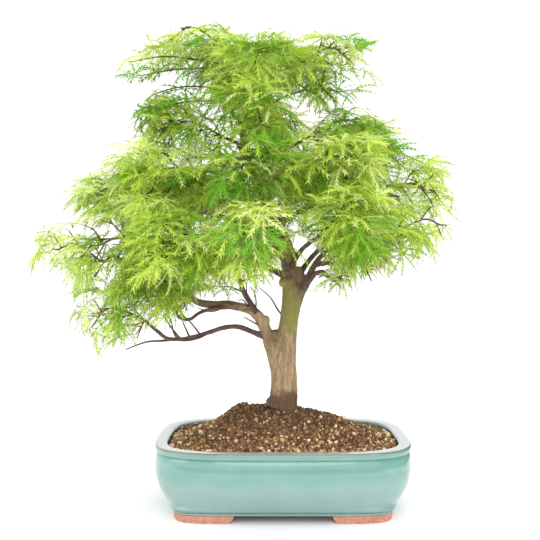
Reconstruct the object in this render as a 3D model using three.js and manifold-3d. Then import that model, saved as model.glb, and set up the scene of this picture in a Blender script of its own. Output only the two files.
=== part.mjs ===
// A laceleaf Japanese maple trained as a bonsai, standing in a glazed oblong pot.
// Millimetres, +Z up, X along the pot's long side, the viewer in front at -Y.
// The origin lies on the table, under the middle of the whole plant's box.
// The trunk stands on the mound of soil with a flat foot. Boughs leave the trunk and one another,
// and each ends where a pad of foliage begins: one stem, side twigs in opposite pairs, and a
// leaf of narrow lobes on the end of each twig.

import * as THREE from "three";
import { mergeVertices } from "three/addons/utils/BufferGeometryUtils.js";
import Module from "manifold-3d";

const wasm = await Module();
wasm.setup();

// Running clearance between two pieces that touch in the real plant.
const GAP = 0.3;
// How far a cutting block reaches past what it cuts.
const CUT_PAST = 1;
// Corners nearer than this are one corner.
const WELD = 1e-4;

// The pot's centre lies to the right of the middle of the crown.
const POT_X = 39;

// The pot: an oblong with well rounded corners, as a squared ellipse.
const POT_HALF_WIDTH = 150;
const POT_HALF_DEPTH = 102;
const POT_SQUARENESS = 4.05;
// The base and the feet have tighter corners than the rim.
const BASE_SQUARENESS = 8;
const POT_SIDES = 40;
const POT_TOP = 84;
const UNDERSIDE_Z = 9;
const RIM_WIDTH = 14;
// A sine or cosine below this is one of the outline's four middles.
const ON_AXIS = 1e-9;
// How far the wall below the rim is set back from the rim's inner edge, at the soil's line.
const LIP_SETBACK = 1.5;
const FLOOR_TOP = 17;
// Each row of the outside: how far it lies inside the rim's outline, its height, and how square it
// is where that differs from the rim.
const POT_OUTSIDE = [
  [22.5, UNDERSIDE_Z, BASE_SQUARENESS],
  [20.5, 13.5, BASE_SQUARENESS],
  [15, 19, 4.3],
  [8.5, 27.5],
  [3.5, 38],
  [0.6, 51],
  [0, 63],
  [0.8, 72],
  [2.4, 75.5],
  [0.3, 77.5],
  [0, 81.5],
  [1.6, POT_TOP],
];
// The inside, from the rim's inner edge down to the floor.
const POT_INSIDE = [
  [RIM_WIDTH, POT_TOP],
  [RIM_WIDTH + LIP_SETBACK, 81],
  [RIM_WIDTH - 3, 60],
  [RIM_WIDTH + 6, 30],
  [RIM_WIDTH + 20, FLOOR_TOP],
];

// The unglazed feet, one under each corner, with sloping inner ends.
const FOOT_INSET = 23;
const FOOT_TAPER = 1.5;
const FOOT_LONG = 73;
const FOOT_SHORT = 46;
const FOOT_SLOPE = 5;

// The soil: a mound that rises from the rim to the trunk's foot, with a mossy lump beside it.
const SOIL_EDGE_Z = 80;
const MOUND_RISE = 37;
const MOUND_HALF_X = 124;
const MOUND_HALF_Y = 86;
const MOUND_POWER = 1.6;
const SEAT_Z = 116;
const SEAT_RADIUS = 26;
const LUMP = { x: -52, y: 6, rise: 12, spread: 13 };
const SOIL_RINGS = [0.84, 0.64, 0.42];

// The trunk, row by row: height, lean to the right, lean to the back, radius.
const TRUNK_ROWS = [
  [SEAT_Z + GAP, -1, 0, 21.5],
  [127, 1.5, 0, 18],
  [147, 2, 0, 16],
  [177, 2.5, 0, 14.2],
  [212, 6.5, -1, 11.4],
  [247, 11, -2, 11.6],
  [281, 8.5, -2, 9.4],
  [314, 3.5, 0, 8.4],
  [347, -12, 3, 7.2],
  [389, -32, 6, 6],
  [436, -47, 8, 5],
  [480, -42, 8, 3.8],
  [515, -27, 8, 2.3],
];
const TRUNK_SIDES = 10;
const TRUNK_STEPS = 20;
// Root flare: four low ridges that die out a little above the soil.
const FLARE_RIDGES = 4;
const FLARE_DEPTH = 0.16;
const FLARE_HEIGHT = 34;
const FLARE_TURN = 0.5;

const BOUGH_SIDES = 6;
const BOUGH_STEPS = 7;
const PLAIN_SIDES = 5;
const PLAIN_STEPS = 5;
// The direction that a path's first cross-section is turned to.
const FIRST_ACROSS = [0.6, 0.8, 0];

// The limbs: what each springs from, how far along it, its radius at the root and at the tip, the
// points it passes through, and the pad it feeds.
const LIMBS = [
  { name: "limb_left", from: "trunk", along: 0.16, girth: [8, 3.2], pad: "low_left",
    through: [[-20, -2, 208], [-34, -5, 232], [-62, -10, 241], [-106, -18, 248]] },
  { name: "bough_low_left", from: "limb_left", along: 0.17, girth: [3.1, 1.9], pad: "low_left_bottom",
    through: [[-57, -10, 215.5], [-90, -17, 208], [-132, -24, 201.5]] },
  { name: "bough_left_under", from: "limb_left", along: 0.56, girth: [2.2, 1.4], pad: "left_inner",
    through: [[-92, -24, 236], [-108, -34, 226], [-124, -40, 231]] },
  { name: "bough_left_up", from: "limb_left", along: 0.3, girth: [3.6, 1.8], pad: "low_left_front",
    through: [[-46, -16, 258], [-56, -38, 286]] },
  { name: "bough_left_tip", from: "limb_left", along: 0.84, girth: [2.6, 1.6], pad: "left_tip",
    through: [[-168, -8, 278], [-200, -4, 300]] },
  { name: "limb_right", from: "trunk", along: 0.34, girth: [4.6, 2.2], pad: "low_right",
    through: [[33, -6, 278], [50, -6, 303]] },
  { name: "bough_right_under", from: "limb_right", along: 0.22, girth: [2.8, 1.5], pad: "right_bottom",
    through: [[41, -13, 281], [49, -20, 280]] },
  { name: "bough_right_out", from: "limb_right", along: 0.45, girth: [2.5, 1.6], pad: "right_tip",
    through: [[76, 2, 296], [110, 8, 318]] },
  { name: "bough_low_back_left", from: "trunk", along: 0.48, girth: [4, 2], pad: "low_back_left" },
  { name: "bough_low_back_right", from: "trunk", along: 0.45, girth: [4, 2], pad: "low_back_right" },
  { name: "bough_low_front", from: "trunk", along: 0.47, girth: [3.6, 1.9], pad: "low_front" },
  { name: "bough_low_front_right", from: "trunk", along: 0.5, girth: [3.4, 1.9], pad: "low_front_right" },
  { name: "bough_low_back", from: "trunk", along: 0.52, girth: [3.8, 2], pad: "low_back" },
  { name: "bough_mid_left", from: "trunk", along: 0.545, girth: [4, 2], pad: "mid_left", arch: 16 },
  { name: "bough_mid_left_front", from: "trunk", along: 0.57, girth: [3.2, 1.8], pad: "mid_left_front" },
  { name: "bough_mid_front", from: "trunk", along: 0.595, girth: [3, 1.8], pad: "mid_front" },
  { name: "bough_mid_right_front", from: "trunk", along: 0.62, girth: [3, 1.8], pad: "mid_right_front" },
  { name: "bough_mid_right", from: "trunk", along: 0.645, girth: [3.4, 1.8], pad: "mid_right_tip",
    arch: 14 },
  { name: "bough_mid_back_left", from: "trunk", along: 0.67, girth: [3.2, 1.8], pad: "mid_back_left" },
  { name: "bough_mid_back_right", from: "trunk", along: 0.7, girth: [3.2, 1.8], pad: "mid_back_right" },
  { name: "bough_upper_right", from: "trunk", along: 0.75, girth: [2.8, 1.7], pad: "upper_right" },
  { name: "bough_upper_left", from: "trunk", along: 0.79, girth: [2.6, 1.6], pad: "upper_left" },
  { name: "bough_upper_back", from: "trunk", along: 0.82, girth: [2.4, 1.6], pad: "upper_back" },
  { name: "bough_top_right", from: "trunk", along: 0.87, girth: [2.3, 1.6], pad: "top_right" },
  { name: "bough_top_left", from: "trunk", along: 0.92, girth: [2.1, 1.5], pad: "top_left" },
];
const ARCH = 8;

// The pads: centre and reach, seen from the pot's centre.
const PADS = [
  { name: "low_left", at: [-188, -34, 312], reach: 72 },
  { name: "low_left_bottom", at: [-198, -26, 232], reach: 54 },
  { name: "left_inner", at: [-146, -50, 258], reach: 50 },
  { name: "low_left_front", at: [-106, -104, 314], reach: 70 },
  { name: "left_tip", at: [-252, 2, 308], reach: 58 },
  { name: "low_right", at: [116, -8, 326], reach: 66 },
  { name: "right_bottom", at: [84, -40, 284], reach: 46 },
  { name: "right_tip", at: [173, 10, 338], reach: 58 },
  { name: "low_back_left", at: [-140, 102, 318], reach: 78 },
  { name: "low_back_right", at: [98, 98, 334], reach: 76 },
  { name: "low_front", at: [-24, -132, 322], reach: 68 },
  { name: "low_front_right", at: [60, -105, 334], reach: 68 },
  { name: "low_back", at: [-20, 138, 342], reach: 74 },
  { name: "mid_left", at: [-188, 4, 374], reach: 66 },
  { name: "mid_left_front", at: [-120, -78, 388], reach: 72 },
  { name: "mid_front", at: [-36, -106, 396], reach: 68 },
  { name: "mid_right_front", at: [48, -82, 402], reach: 68 },
  { name: "mid_right_tip", at: [152, 4, 380], reach: 64 },
  { name: "mid_back_left", at: [-118, 88, 404], reach: 78 },
  { name: "mid_back_right", at: [62, 98, 416], reach: 76 },
  { name: "upper_right", at: [76, 4, 458], reach: 62 },
  { name: "upper_left", at: [-112, 2, 456], reach: 60 },
  { name: "upper_back", at: [-24, 90, 480], reach: 70 },
  { name: "top_right", at: [48, 0, 530], reach: 64, rise: 0.3, lift: 16 },
  { name: "top_left", at: [-100, -6, 550], reach: 62, rise: 0.35, lift: 18 },
  { name: "upper_front", at: [-32, -66, 462], reach: 66, from: "trunk", along: 0.8 },
  { name: "top_front", at: [-30, -52, 512], reach: 60, rise: 0.25, lift: 16, from: "trunk", along: 0.95 },
  { name: "top_back", at: [-34, 56, 534], reach: 62, rise: 0.3, lift: 16, from: "trunk", along: 1 },
];
// A pad is flatter than it is wide, and begins part of the way in from its rim.
const PAD_FLATNESS = 0.85;
const ROOT_SHARE = 0.7;
const ROOT_DROP = 0.2;

// Growth inside a pad, in shares of its reach, and angles in degrees.
const STEM_RADIUS = 1.8;
const TRUNK_STEM_RADIUS = 2.3;
const STEM_TIP = 1.25;
const STEM_STEPS = 4;
const STEM_LEAD = 8;
const STEM_RISE = 0.12;
const STEM_REACH = 0.36;
const STEM_SIDES = 4;
const TWIG_LENGTH = 0.36;
const TWIG_ANGLE = 58;
const TWIG_NODES = [0.1, 0.27, 0.44, 0.61, 0.77, 0.92];
const PAIR_STAGGER = 0.015;
const LEAF_SHARE = 0.82;
const LEAF_TILTS = [-30, -8, -52, 16, -74];
const LEAF_SCALES = [1, 0.84, 0.7, 0.58];
const JITTER = 14;
const JITTER_UP = 0.5;
const TRIES = 3;
const FIRST_SEED = 1000;
const SEED_STEP = 77;
// A twig's length varies by this share either way, and the last one is shorter.
const LENGTH_VARIES = 0.15;
const LAST_TWIG = 0.4;

// A leaf: five lobes round the palm, from the left basal one to the right basal one.
const LOBE_ANGLES = [-100, -50, 0, 50, 100];
const LOBE_LENGTHS = [0.64, 0.9, 1, 0.9, 0.64];
const NOTCH_SHARE = 0.3;
// The stalk's width, and how far behind the palm it meets the blade.
const STALK = 1.3;
const HEEL = 2.5;
const LEAF_THICK = 1.4;
const LEAF_DROOP = 0.3;
// No lobe comes nearer to a limb's surface than this, or to the middle between two pads.
const LIMB_CLEARANCE = 3.2;
const SPACE_MARGIN = 0.6;

// Two segments whose directions differ by less than this count as parallel.
const PARALLEL = 1e-9;

// Colour and roughness of each material.
const GLAZE = [0x8fc9bd, 0.15];
const TERRACOTTA = [0xc98470, 0.85];
const SOIL = [0x6b4a35, 1];
const BARK = [0x8a7458, 0.9];
const BOUGH_BARK = [0x5e4436, 0.9];
const LEAF_GREENS = [[0x7fae2e, 0.6], [0x6ba22a, 0.6], [0x8fbb3a, 0.6]];

const degrees = THREE.MathUtils.degToRad;
const UP = new THREE.Vector3(0, 0, 1);
const vector = (p) => new THREE.Vector3(...p);

// A repeatable row of numbers from 0 to 1.
function seeded(seed) {
  let state = seed;
  return () => {
    state = (state * 1664525 + 1013904223) % 4294967296;
    return state / 4294967296;
  };
}

function solidOf(geometry) {
  const bare = geometry.clone();
  bare.deleteAttribute("normal");
  bare.deleteAttribute("uv");
  const merged = mergeVertices(bare, WELD);
  return new wasm.Manifold(
    new wasm.Mesh({
      numProp: 3,
      vertProperties: new Float32Array(merged.attributes.position.array),
      triVerts: new Uint32Array(merged.index.array),
    }),
  );
}

// The largest body of a solid, without any scraps that a cut leaves.
function largestOf(solid) {
  return solid.decompose().sort((a, b) => b.volume() - a.volume())[0];
}

function geometryOf(solid) {
  const mesh = solid.getMesh();
  const geometry = new THREE.BufferGeometry();
  geometry.setAttribute("position", new THREE.BufferAttribute(mesh.vertProperties, 3));
  geometry.setIndex(new THREE.BufferAttribute(mesh.triVerts, 1));
  geometry.computeVertexNormals();
  return geometry;
}

// A cylinder whose rows are put where place(row, angle, spread) says; spread is 0 at a cap's centre.
function bentCylinder(sides, rows, place) {
  const geometry = new THREE.CylinderGeometry(1, 1, 1, sides, rows - 1);
  const position = geometry.attributes.position;
  for (let i = 0; i < position.count; i++) {
    const [x, y, z] = [position.getX(i), position.getY(i), position.getZ(i)];
    const row = Math.round((y + 0.5) * (rows - 1));
    const p = place(row, Math.atan2(-z, x), Math.hypot(x, z));
    position.setXYZ(i, p.x, p.y, p.z);
  }
  geometry.computeVertexNormals();
  return geometry;
}

// A point on the pot's outline, drawn in by an inset.
function outline(angle, inset, share = 1, squareness = POT_SQUARENESS) {
  const power = 2 / squareness;
  const [c, s] = [Math.cos(angle), Math.sin(angle)].map((side) => (Math.abs(side) < ON_AXIS ? 0 : side));
  return {
    x: POT_X + share * (POT_HALF_WIDTH - inset) * Math.sign(c) * Math.abs(c) ** power,
    y: share * (POT_HALF_DEPTH - inset) * Math.sign(s) * Math.abs(s) ** power,
  };
}

// A solid with the pot's outline at each of its rows: [inset, height, squareness].
function oblong(rows) {
  return bentCylinder(POT_SIDES, rows.length, (row, angle, spread) => {
    const [inset, z, squareness] = rows[row];
    return new THREE.Vector3(...Object.values(outline(angle, inset, spread, squareness)), z);
  });
}

// A block round one corner under the pot, shorter below.
function cornerBlock(sideX, sideY) {
  const block = new THREE.BoxGeometry(1, 1, 1);
  const position = block.attributes.position;
  for (let i = 0; i < position.count; i++) {
    const low = position.getZ(i) < 0;
    const inner = [POT_HALF_WIDTH - FOOT_INSET - FOOT_LONG, POT_HALF_DEPTH - FOOT_INSET - FOOT_SHORT];
    const slope = low ? FOOT_SLOPE : 0;
    const x = position.getX(i) * sideX > 0 ? POT_HALF_WIDTH : inner[0] + slope;
    const y = position.getY(i) * sideY > 0 ? POT_HALF_DEPTH : inner[1] + slope;
    position.setXYZ(i, POT_X + sideX * x, sideY * y, low ? -CUT_PAST : UNDERSIDE_Z + CUT_PAST);
  }
  return solidOf(block);
}

function foot(sideX, sideY) {
  const rows = [[FOOT_INSET + FOOT_TAPER, 0, BASE_SQUARENESS], [FOOT_INSET, UNDERSIDE_Z, BASE_SQUARENESS]];
  const under = oblong(rows);
  return geometryOf(solidOf(under).intersect(cornerBlock(sideX, sideY)));
}

function moundHeight(x, y) {
  const dx = x - POT_X;
  const away = Math.hypot(dx / MOUND_HALF_X, y / MOUND_HALF_Y);
  const mound = MOUND_RISE * Math.max(0, 1 - away ** MOUND_POWER);
  const lump = LUMP.rise * Math.exp(-(((dx - LUMP.x) ** 2 + (y - LUMP.y) ** 2) / (2 * LUMP.spread ** 2)));
  return SOIL_EDGE_Z + mound + lump;
}

// The soil fills the pot up to its inner wall and rises to the flat seat under the trunk.
function soil() {
  const inside = [...POT_INSIDE].reverse().filter(([, z]) => z < SOIL_EDGE_Z);
  const wall = inside.map(([inset, z]) => [inset + GAP, z === FLOOR_TOP ? z + GAP : z, 1]);
  const edge = [RIM_WIDTH + LIP_SETBACK + GAP, SOIL_EDGE_Z, 1];
  const rows = [...wall, edge, ...SOIL_RINGS.map((share) => [edge[0], 0, share]), [0, SEAT_Z, 0]];
  const top = wall.length + 1;
  return bentCylinder(POT_SIDES, rows.length, (row, angle, spread) => {
    const [inset, z, share] = rows[row];
    if (row === rows.length - 1) {
      const x = POT_X + TRUNK_ROWS[0][1] + spread * SEAT_RADIUS * Math.cos(angle);
      return new THREE.Vector3(x, spread * SEAT_RADIUS * Math.sin(angle), SEAT_Z);
    }
    const p = outline(angle, inset, share * spread);
    return new THREE.Vector3(p.x, p.y, row < top ? z : moundHeight(p.x, p.y));
  });
}

// A limb is a smooth path with a radius at each share of its length.
function limbAlong(name, points, radii, sides, steps) {
  const curve = new THREE.CatmullRomCurve3(points, false, "catmullrom", 0.5);
  const radiusAt = (t) => {
    const place = t * (radii.length - 1);
    const i = Math.min(Math.floor(place), radii.length - 2);
    return radii[i] + (radii[i + 1] - radii[i]) * (place - i);
  };
  return { name, curve, radiusAt, sides, steps };
}

// Cross-sections along a path: each keeps the last one's direction as nearly as it can.
function sectionsAlong(curve, steps) {
  const sections = [];
  let across = vector(FIRST_ACROSS);
  for (let i = 0; i <= steps; i++) {
    const tangent = curve.getTangent(i / steps);
    across = across.clone().addScaledVector(tangent, -across.dot(tangent)).normalize();
    const other = new THREE.Vector3().crossVectors(tangent, across);
    sections.push({ at: curve.getPoint(i / steps), tangent, across, other });
  }
  return sections;
}

// The root flare's ridges, as a share added to the radius.
function flareAt(z, angle) {
  const fade = Math.max(0, 1 - (z - SEAT_Z) / FLARE_HEIGHT);
  return 1 + FLARE_DEPTH * fade * fade * Math.cos(FLARE_RIDGES * angle + FLARE_TURN);
}

function limbGeometry(limb, growth = 0) {
  const sections = sectionsAlong(limb.curve, limb.steps);
  return bentCylinder(limb.sides, limb.steps + 1, (row, angle, spread) => {
    const { at, across, other } = sections[row];
    const flare = limb.name === "trunk" ? flareAt(at.z, angle) : 1;
    const radius = (limb.radiusAt(row / limb.steps) + growth) * flare * spread;
    const p = at.clone();
    p.addScaledVector(across, radius * Math.cos(angle));
    p.addScaledVector(other, radius * Math.sin(angle));
    if (limb.name === "trunk" && row === 0) p.z = at.z;
    return p;
  });
}

function makeTrunk() {
  const points = TRUNK_ROWS.map(([z, x, y]) => new THREE.Vector3(POT_X + x, y, z));
  return limbAlong("trunk", points, TRUNK_ROWS.map((row) => row[3]), TRUNK_SIDES, TRUNK_STEPS);
}

// Where a pad begins, and which way it grows: away from the limb that feeds it.
function layOut(pad, source) {
  const centre = vector(pad.at).add(new THREE.Vector3(POT_X, 0, 0));
  const heading = centre.clone().sub(source).setZ(0).normalize();
  const root = centre.clone().addScaledVector(heading, -ROOT_SHARE * pad.reach);
  root.z -= ROOT_DROP * pad.reach;
  return { ...pad, centre, heading, root };
}

function growLimbs(limbs, pads) {
  for (const plan of LIMBS) {
    const parent = limbs.get(plan.from);
    const start = parent.curve.getPoint(plan.along);
    const through = (plan.through ?? []).map((p) => vector(p).add(new THREE.Vector3(POT_X, 0, 0)));
    const pad = layOut(PADS.find((p) => p.name === plan.pad), through.at(-1) ?? start);
    if (!through.length) {
      const middle = start.clone().lerp(pad.root, 0.5);
      middle.z += plan.arch ?? ARCH;
      through.push(middle);
    }
    const points = [start, ...through, pad.root];
    const faces = plan.through ? [BOUGH_SIDES, BOUGH_STEPS] : [PLAIN_SIDES, PLAIN_STEPS];
    const limb = limbAlong(plan.name, points, plan.girth, ...faces);
    limbs.set(plan.name, { ...limb, parent });
    pads.push({ ...pad, feeder: limbs.get(plan.name) });
  }
  for (const plan of PADS.filter((p) => p.from)) {
    const parent = limbs.get(plan.from);
    pads.push({ ...layOut(plan, parent.curve.getPoint(plan.along)), feeder: parent, along: plan.along });
  }
}

// The stem of a pad: from its feeder's tip, or from inside the trunk, over the pad's middle.
function stemOf(pad) {
  const end = pad.centre.clone().addScaledVector(pad.heading, STEM_REACH * pad.reach);
  const middle = pad.centre.clone();
  middle.z += (pad.rise ?? STEM_RISE) * pad.reach;
  end.z += (pad.rise ?? 0) * pad.reach;
  const fromSide = pad.along !== undefined && pad.along < 1;
  const tip = pad.feeder.curve.getPoint(fromSide ? pad.along : 1);
  const ahead = (distance) => tip.clone().addScaledVector(pad.feeder.curve.getTangent(1), distance);
  const points = fromSide ? [tip, pad.root, middle, end] : [ahead(GAP), ahead(STEM_LEAD), middle, end];
  const thick = fromSide ? TRUNK_STEM_RADIUS : Math.min(STEM_RADIUS, pad.feeder.radiusAt(1));
  return limbAlong(pad.name, points, [thick, STEM_TIP], STEM_SIDES, STEM_STEPS);
}

// A point on the middle line that a limb's straight stretches follow.
function onChord(limb, t) {
  const step = Math.min(Math.floor(t * limb.steps), limb.steps - 1);
  const near = limb.curve.getPoint(step / limb.steps);
  return near.lerp(limb.curve.getPoint((step + 1) / limb.steps), t * limb.steps - step);
}

// Distance from segment ab to segment cd.
function segmentDistance(a, b, c, d) {
  const [u, v, w] = [b.clone().sub(a), d.clone().sub(c), a.clone().sub(c)];
  const [uu, uv, vv, uw, vw] = [u.dot(u), u.dot(v), v.dot(v), u.dot(w), v.dot(w)];
  const span = uu * vv - uv * uv;
  let s = span > PARALLEL ? THREE.MathUtils.clamp((uv * vw - vv * uw) / span, 0, 1) : 0;
  const t = THREE.MathUtils.clamp((uv * s + vw) / vv, 0, 1);
  s = THREE.MathUtils.clamp((uv * t - uw) / uu, 0, 1);
  return w.addScaledVector(u, s).addScaledVector(v, -t).length();
}

function segmentsOf(limb) {
  const segments = [];
  for (let i = 0; i < limb.steps; i++) {
    const [t0, t1] = [i / limb.steps, (i + 1) / limb.steps];
    const radius = Math.max(limb.radiusAt(t0), limb.radiusAt(t1));
    segments.push({ a: limb.curve.getPoint(t0), b: limb.curve.getPoint(t1), radius, owner: limb.name });
  }
  return segments;
}

// How deep a point lies in a pad's space: under 0 inside, and smallest in the pad that owns it.
function depthIn(pad, p) {
  const flat = p.clone().sub(pad.centre);
  flat.z /= PAD_FLATNESS;
  return flat.lengthSq() - pad.reach ** 2;
}

function ownsPoint(pad, pads, p) {
  const own = depthIn(pad, p);
  if (own > 0) return false;
  return pads.every((other) => {
    if (other === pad) return true;
    const apart = 2 * SPACE_MARGIN * pad.centre.distanceTo(other.centre);
    return own + apart < depthIn(other, p);
  });
}

function clearOf(segments, a, b, margin, owner) {
  return segments.every(
    (s) => s.owner === owner || segmentDistance(a, b, s.a, s.b) > s.radius + margin,
  );
}

// The outline of a leaf: [angle, length], lobe and notch by turns.
function leafOutline() {
  const points = [];
  LOBE_ANGLES.forEach((angle, i) => {
    points.push([angle, LOBE_LENGTHS[i]]);
    const next = LOBE_ANGLES[i + 1];
    if (next !== undefined) points.push([(angle + next) / 2, NOTCH_SHARE]);
  });
  return points;
}
const LEAF_OUTLINE = leafOutline();

// A leaf's corners in space: it faces along forward, and its lobes droop away from normal.
function leafPoints(palm, forward, normal, length) {
  const side = new THREE.Vector3().crossVectors(normal, forward);
  return LEAF_OUTLINE.map(([angle, share]) => {
    const p = palm.clone();
    p.addScaledVector(forward, length * share * Math.cos(degrees(angle)));
    p.addScaledVector(side, length * share * Math.sin(degrees(angle)));
    return p.addScaledVector(normal, -LEAF_DROOP * length * share * share);
  });
}

// A leaf and its stalk as one closed form. The blade is thickest at the palm and thins to its rim.
// The rim runs from the left heel over the lobes to the right heel, and the stalk has three sides.
function leafGeometry(root, palm, forward, normal, lobes) {
  const side = new THREE.Vector3().crossVectors(normal, forward);
  const offset = (from, ahead, across, up) =>
    from.clone().addScaledVector(forward, ahead).addScaledVector(side, across).addScaledVector(normal, up);
  const stalk = [offset(root, 0, -STALK / 2, 0), offset(root, 0, STALK / 2, 0), offset(root, 0, 0, -STALK)];
  const rim = [offset(palm, -HEEL, -STALK / 2, 0), ...lobes, offset(palm, -HEEL, STALK / 2, 0)];
  const points = [offset(palm, 0, 0, LEAF_THICK / 2), offset(palm, 0, 0, -LEAF_THICK / 2), ...stalk, ...rim];
  const [top, low, left, right, under, first] = [0, 1, 2, 3, 4, 5];
  const last = points.length - 1;
  const index = [left, right, under, left, first, right, first, last, right, first, top, last];
  index.push(left, under, first, under, low, first, right, last, under, last, low, under);
  for (let i = first; i < last; i++) index.push(top, i, i + 1, low, i + 1, i);
  return new THREE.BufferGeometry().setFromPoints(points).setIndex(index);
}

function turned(direction, sideways, upward) {
  const flat = direction.clone().setZ(0).normalize().applyAxisAngle(UP, degrees(sideways));
  return flat.multiplyScalar(Math.cos(degrees(upward))).addScaledVector(UP, Math.sin(degrees(upward)));
}

// Tries a leaf on a stalk, the largest first and at each tilt, and gives nothing where none fits.
function leafAt(root, palm, way, pad, pads, segments, grown) {
  for (const scale of LEAF_SCALES) {
    for (const tilt of LEAF_TILTS) {
      const forward = turned(way, 0, tilt + (pad.lift ?? 0));
      const side = new THREE.Vector3().crossVectors(UP, forward).normalize();
      const normal = new THREE.Vector3().crossVectors(forward, side).normalize();
      const rim = leafPoints(palm, forward, normal, scale * LEAF_SHARE * pad.reach);
      const fits = rim.every((p) => ownsPoint(pad, pads, p) && clearOf(segments, palm, p, LIMB_CLEARANCE));
      if (!fits) continue;
      const leaf = solidOf(leafGeometry(root, palm, forward, normal, rim));
      if (grown.every((other) => leaf.intersect(other).isEmpty())) return leaf;
    }
  }
  return null;
}

// The twigs of a pad, from the tip back: share of the stem, turn to the side, turn upwards.
// Each pair stands a quarter turn round the stem from the pair before it.
function twigPlan() {
  const pairs = TWIG_NODES.flatMap((t, i) =>
    [-1, 1].map((side) => {
      const at = t + side * PAIR_STAGGER;
      return i % 2 ? [at, 0, side * TWIG_ANGLE] : [at, side * TWIG_ANGLE, 0];
    }),
  );
  return [[1, 0, 0], ...pairs.reverse()];
}
const TWIG_PLAN = twigPlan();

// A twig with its leaf, or nothing where none of its tries finds room.
function growTwig(pad, stem, plan, random, pads, segments, grown) {
  const [t, sideways, upward] = plan;
  const from = onChord(stem, t);
  for (let i = 0; i < TRIES; i++) {
    const jitter = () => JITTER * (1 + i) * (2 * random() - 1);
    const way = turned(pad.heading, sideways + jitter(), upward + (pad.lift ?? 0) + JITTER_UP * jitter());
    const length = TWIG_LENGTH * pad.reach * (1 + LENGTH_VARIES * (2 * random() - 1));
    const palm = from.clone().addScaledVector(way, t < 1 ? length : LAST_TWIG * length);
    const clear = clearOf(segments, from, palm, STALK, pad.name);
    const leaf = clear ? leafAt(from, palm, way, pad, pads, segments, grown) : null;
    if (leaf) return leaf;
  }
  return null;
}

function growPad(pad, index, pads, stems, segments) {
  const random = seeded(FIRST_SEED + SEED_STEP * index);
  const stem = stems[index];
  let stemSolid = solidOf(limbGeometry(stem));
  if (pad.along !== undefined && pad.along < 1) {
    stemSolid = stemSolid.subtract(solidOf(limbGeometry(pad.feeder, GAP)));
  }
  const grown = [];
  for (const plan of TWIG_PLAN) {
    const leaf = growTwig(pad, stem, plan, random, pads, segments, grown);
    if (leaf) grown.push(leaf);
  }
  return largestOf(wasm.Manifold.union([stemSolid, ...grown]));
}

function finish(name, geometry, [color, roughness]) {
  const material = new THREE.MeshStandardMaterial({ color, roughness, metalness: 0 });
  const mesh = new THREE.Mesh(geometry, material);
  mesh.name = name;
  return mesh;
}

const plant = new THREE.Group();
plant.add(finish("pot_body", oblong([...POT_OUTSIDE, ...POT_INSIDE]), GLAZE));
for (const [end, sideY] of [["front", -1], ["back", 1]]) {
  for (const [side, sideX] of [["left", -1], ["right", 1]]) {
    plant.add(finish(`pot_foot_${end}_${side}`, foot(sideX, sideY), TERRACOTTA));
  }
}
plant.add(finish("soil", soil(), SOIL));

const limbs = new Map([["trunk", makeTrunk()]]);
const pads = [];
growLimbs(limbs, pads);
for (const limb of limbs.values()) {
  let solid = solidOf(limbGeometry(limb));
  if (limb.parent) {
    // The root of a limb is cut to a saddle that sits on its parent.
    solid = largestOf(solid.subtract(solidOf(limbGeometry(limb.parent, GAP))));
  }
  plant.add(finish(limb.name, geometryOf(solid), limb.parent ? BOUGH_BARK : BARK));
}

const stems = pads.map(stemOf);
const segments = [...limbs.values(), ...stems].flatMap(segmentsOf);
pads.forEach((pad, i) => {
  const solid = growPad(pad, i, pads, stems, segments);
  plant.add(finish(`foliage_${pad.name}`, geometryOf(solid), LEAF_GREENS[i % LEAF_GREENS.length]));
});

export default plant;
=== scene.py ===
"""The finish of a laceleaf Japanese maple bonsai in its glazed pot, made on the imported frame.

Everything is in metres and lies where the frame's nodes lie. The limbs and twigs grow by the rule
of the part's own source: boughs leave the trunk and one another, each ends where a pad of foliage
begins, and a pad has one stem with side twigs in opposite pairs. Here each twig goes on to finer
spurs, and each spur to stalks with finely cut leaves.
"""

import copy
import functools
import math

import bmesh
import bpy
import numpy as np
from bpy.props import FloatProperty, FloatVectorProperty, IntProperty, PointerProperty
from bpy.types import Operator, Panel, PropertyGroup
from mathutils import Matrix, Quaternion, Vector, noise


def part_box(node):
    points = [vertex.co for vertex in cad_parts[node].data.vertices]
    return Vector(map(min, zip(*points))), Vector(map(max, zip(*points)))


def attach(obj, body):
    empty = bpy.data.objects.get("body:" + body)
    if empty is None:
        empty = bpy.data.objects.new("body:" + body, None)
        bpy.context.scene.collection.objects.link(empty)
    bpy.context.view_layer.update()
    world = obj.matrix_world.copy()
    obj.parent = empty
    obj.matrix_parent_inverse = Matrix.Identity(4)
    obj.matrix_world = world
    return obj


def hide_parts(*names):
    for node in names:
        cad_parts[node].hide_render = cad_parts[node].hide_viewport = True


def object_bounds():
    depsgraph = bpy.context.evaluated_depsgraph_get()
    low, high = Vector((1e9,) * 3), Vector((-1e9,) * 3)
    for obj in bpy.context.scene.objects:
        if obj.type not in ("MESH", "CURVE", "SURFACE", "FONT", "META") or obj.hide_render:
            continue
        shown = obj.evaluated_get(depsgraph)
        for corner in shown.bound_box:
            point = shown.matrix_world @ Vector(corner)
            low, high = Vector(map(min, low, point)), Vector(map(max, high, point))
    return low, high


bl_info = {
    "name": "Potted Maple Bonsai",
    "version": (1, 0, 0),
    "blender": (4, 5, 0),
    "location": "3D View > Sidebar > Maple",
    "description": "Makes the pot, soil, bark, twigs and leaves of a potted maple bonsai",
    "category": "Object",
}

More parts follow.
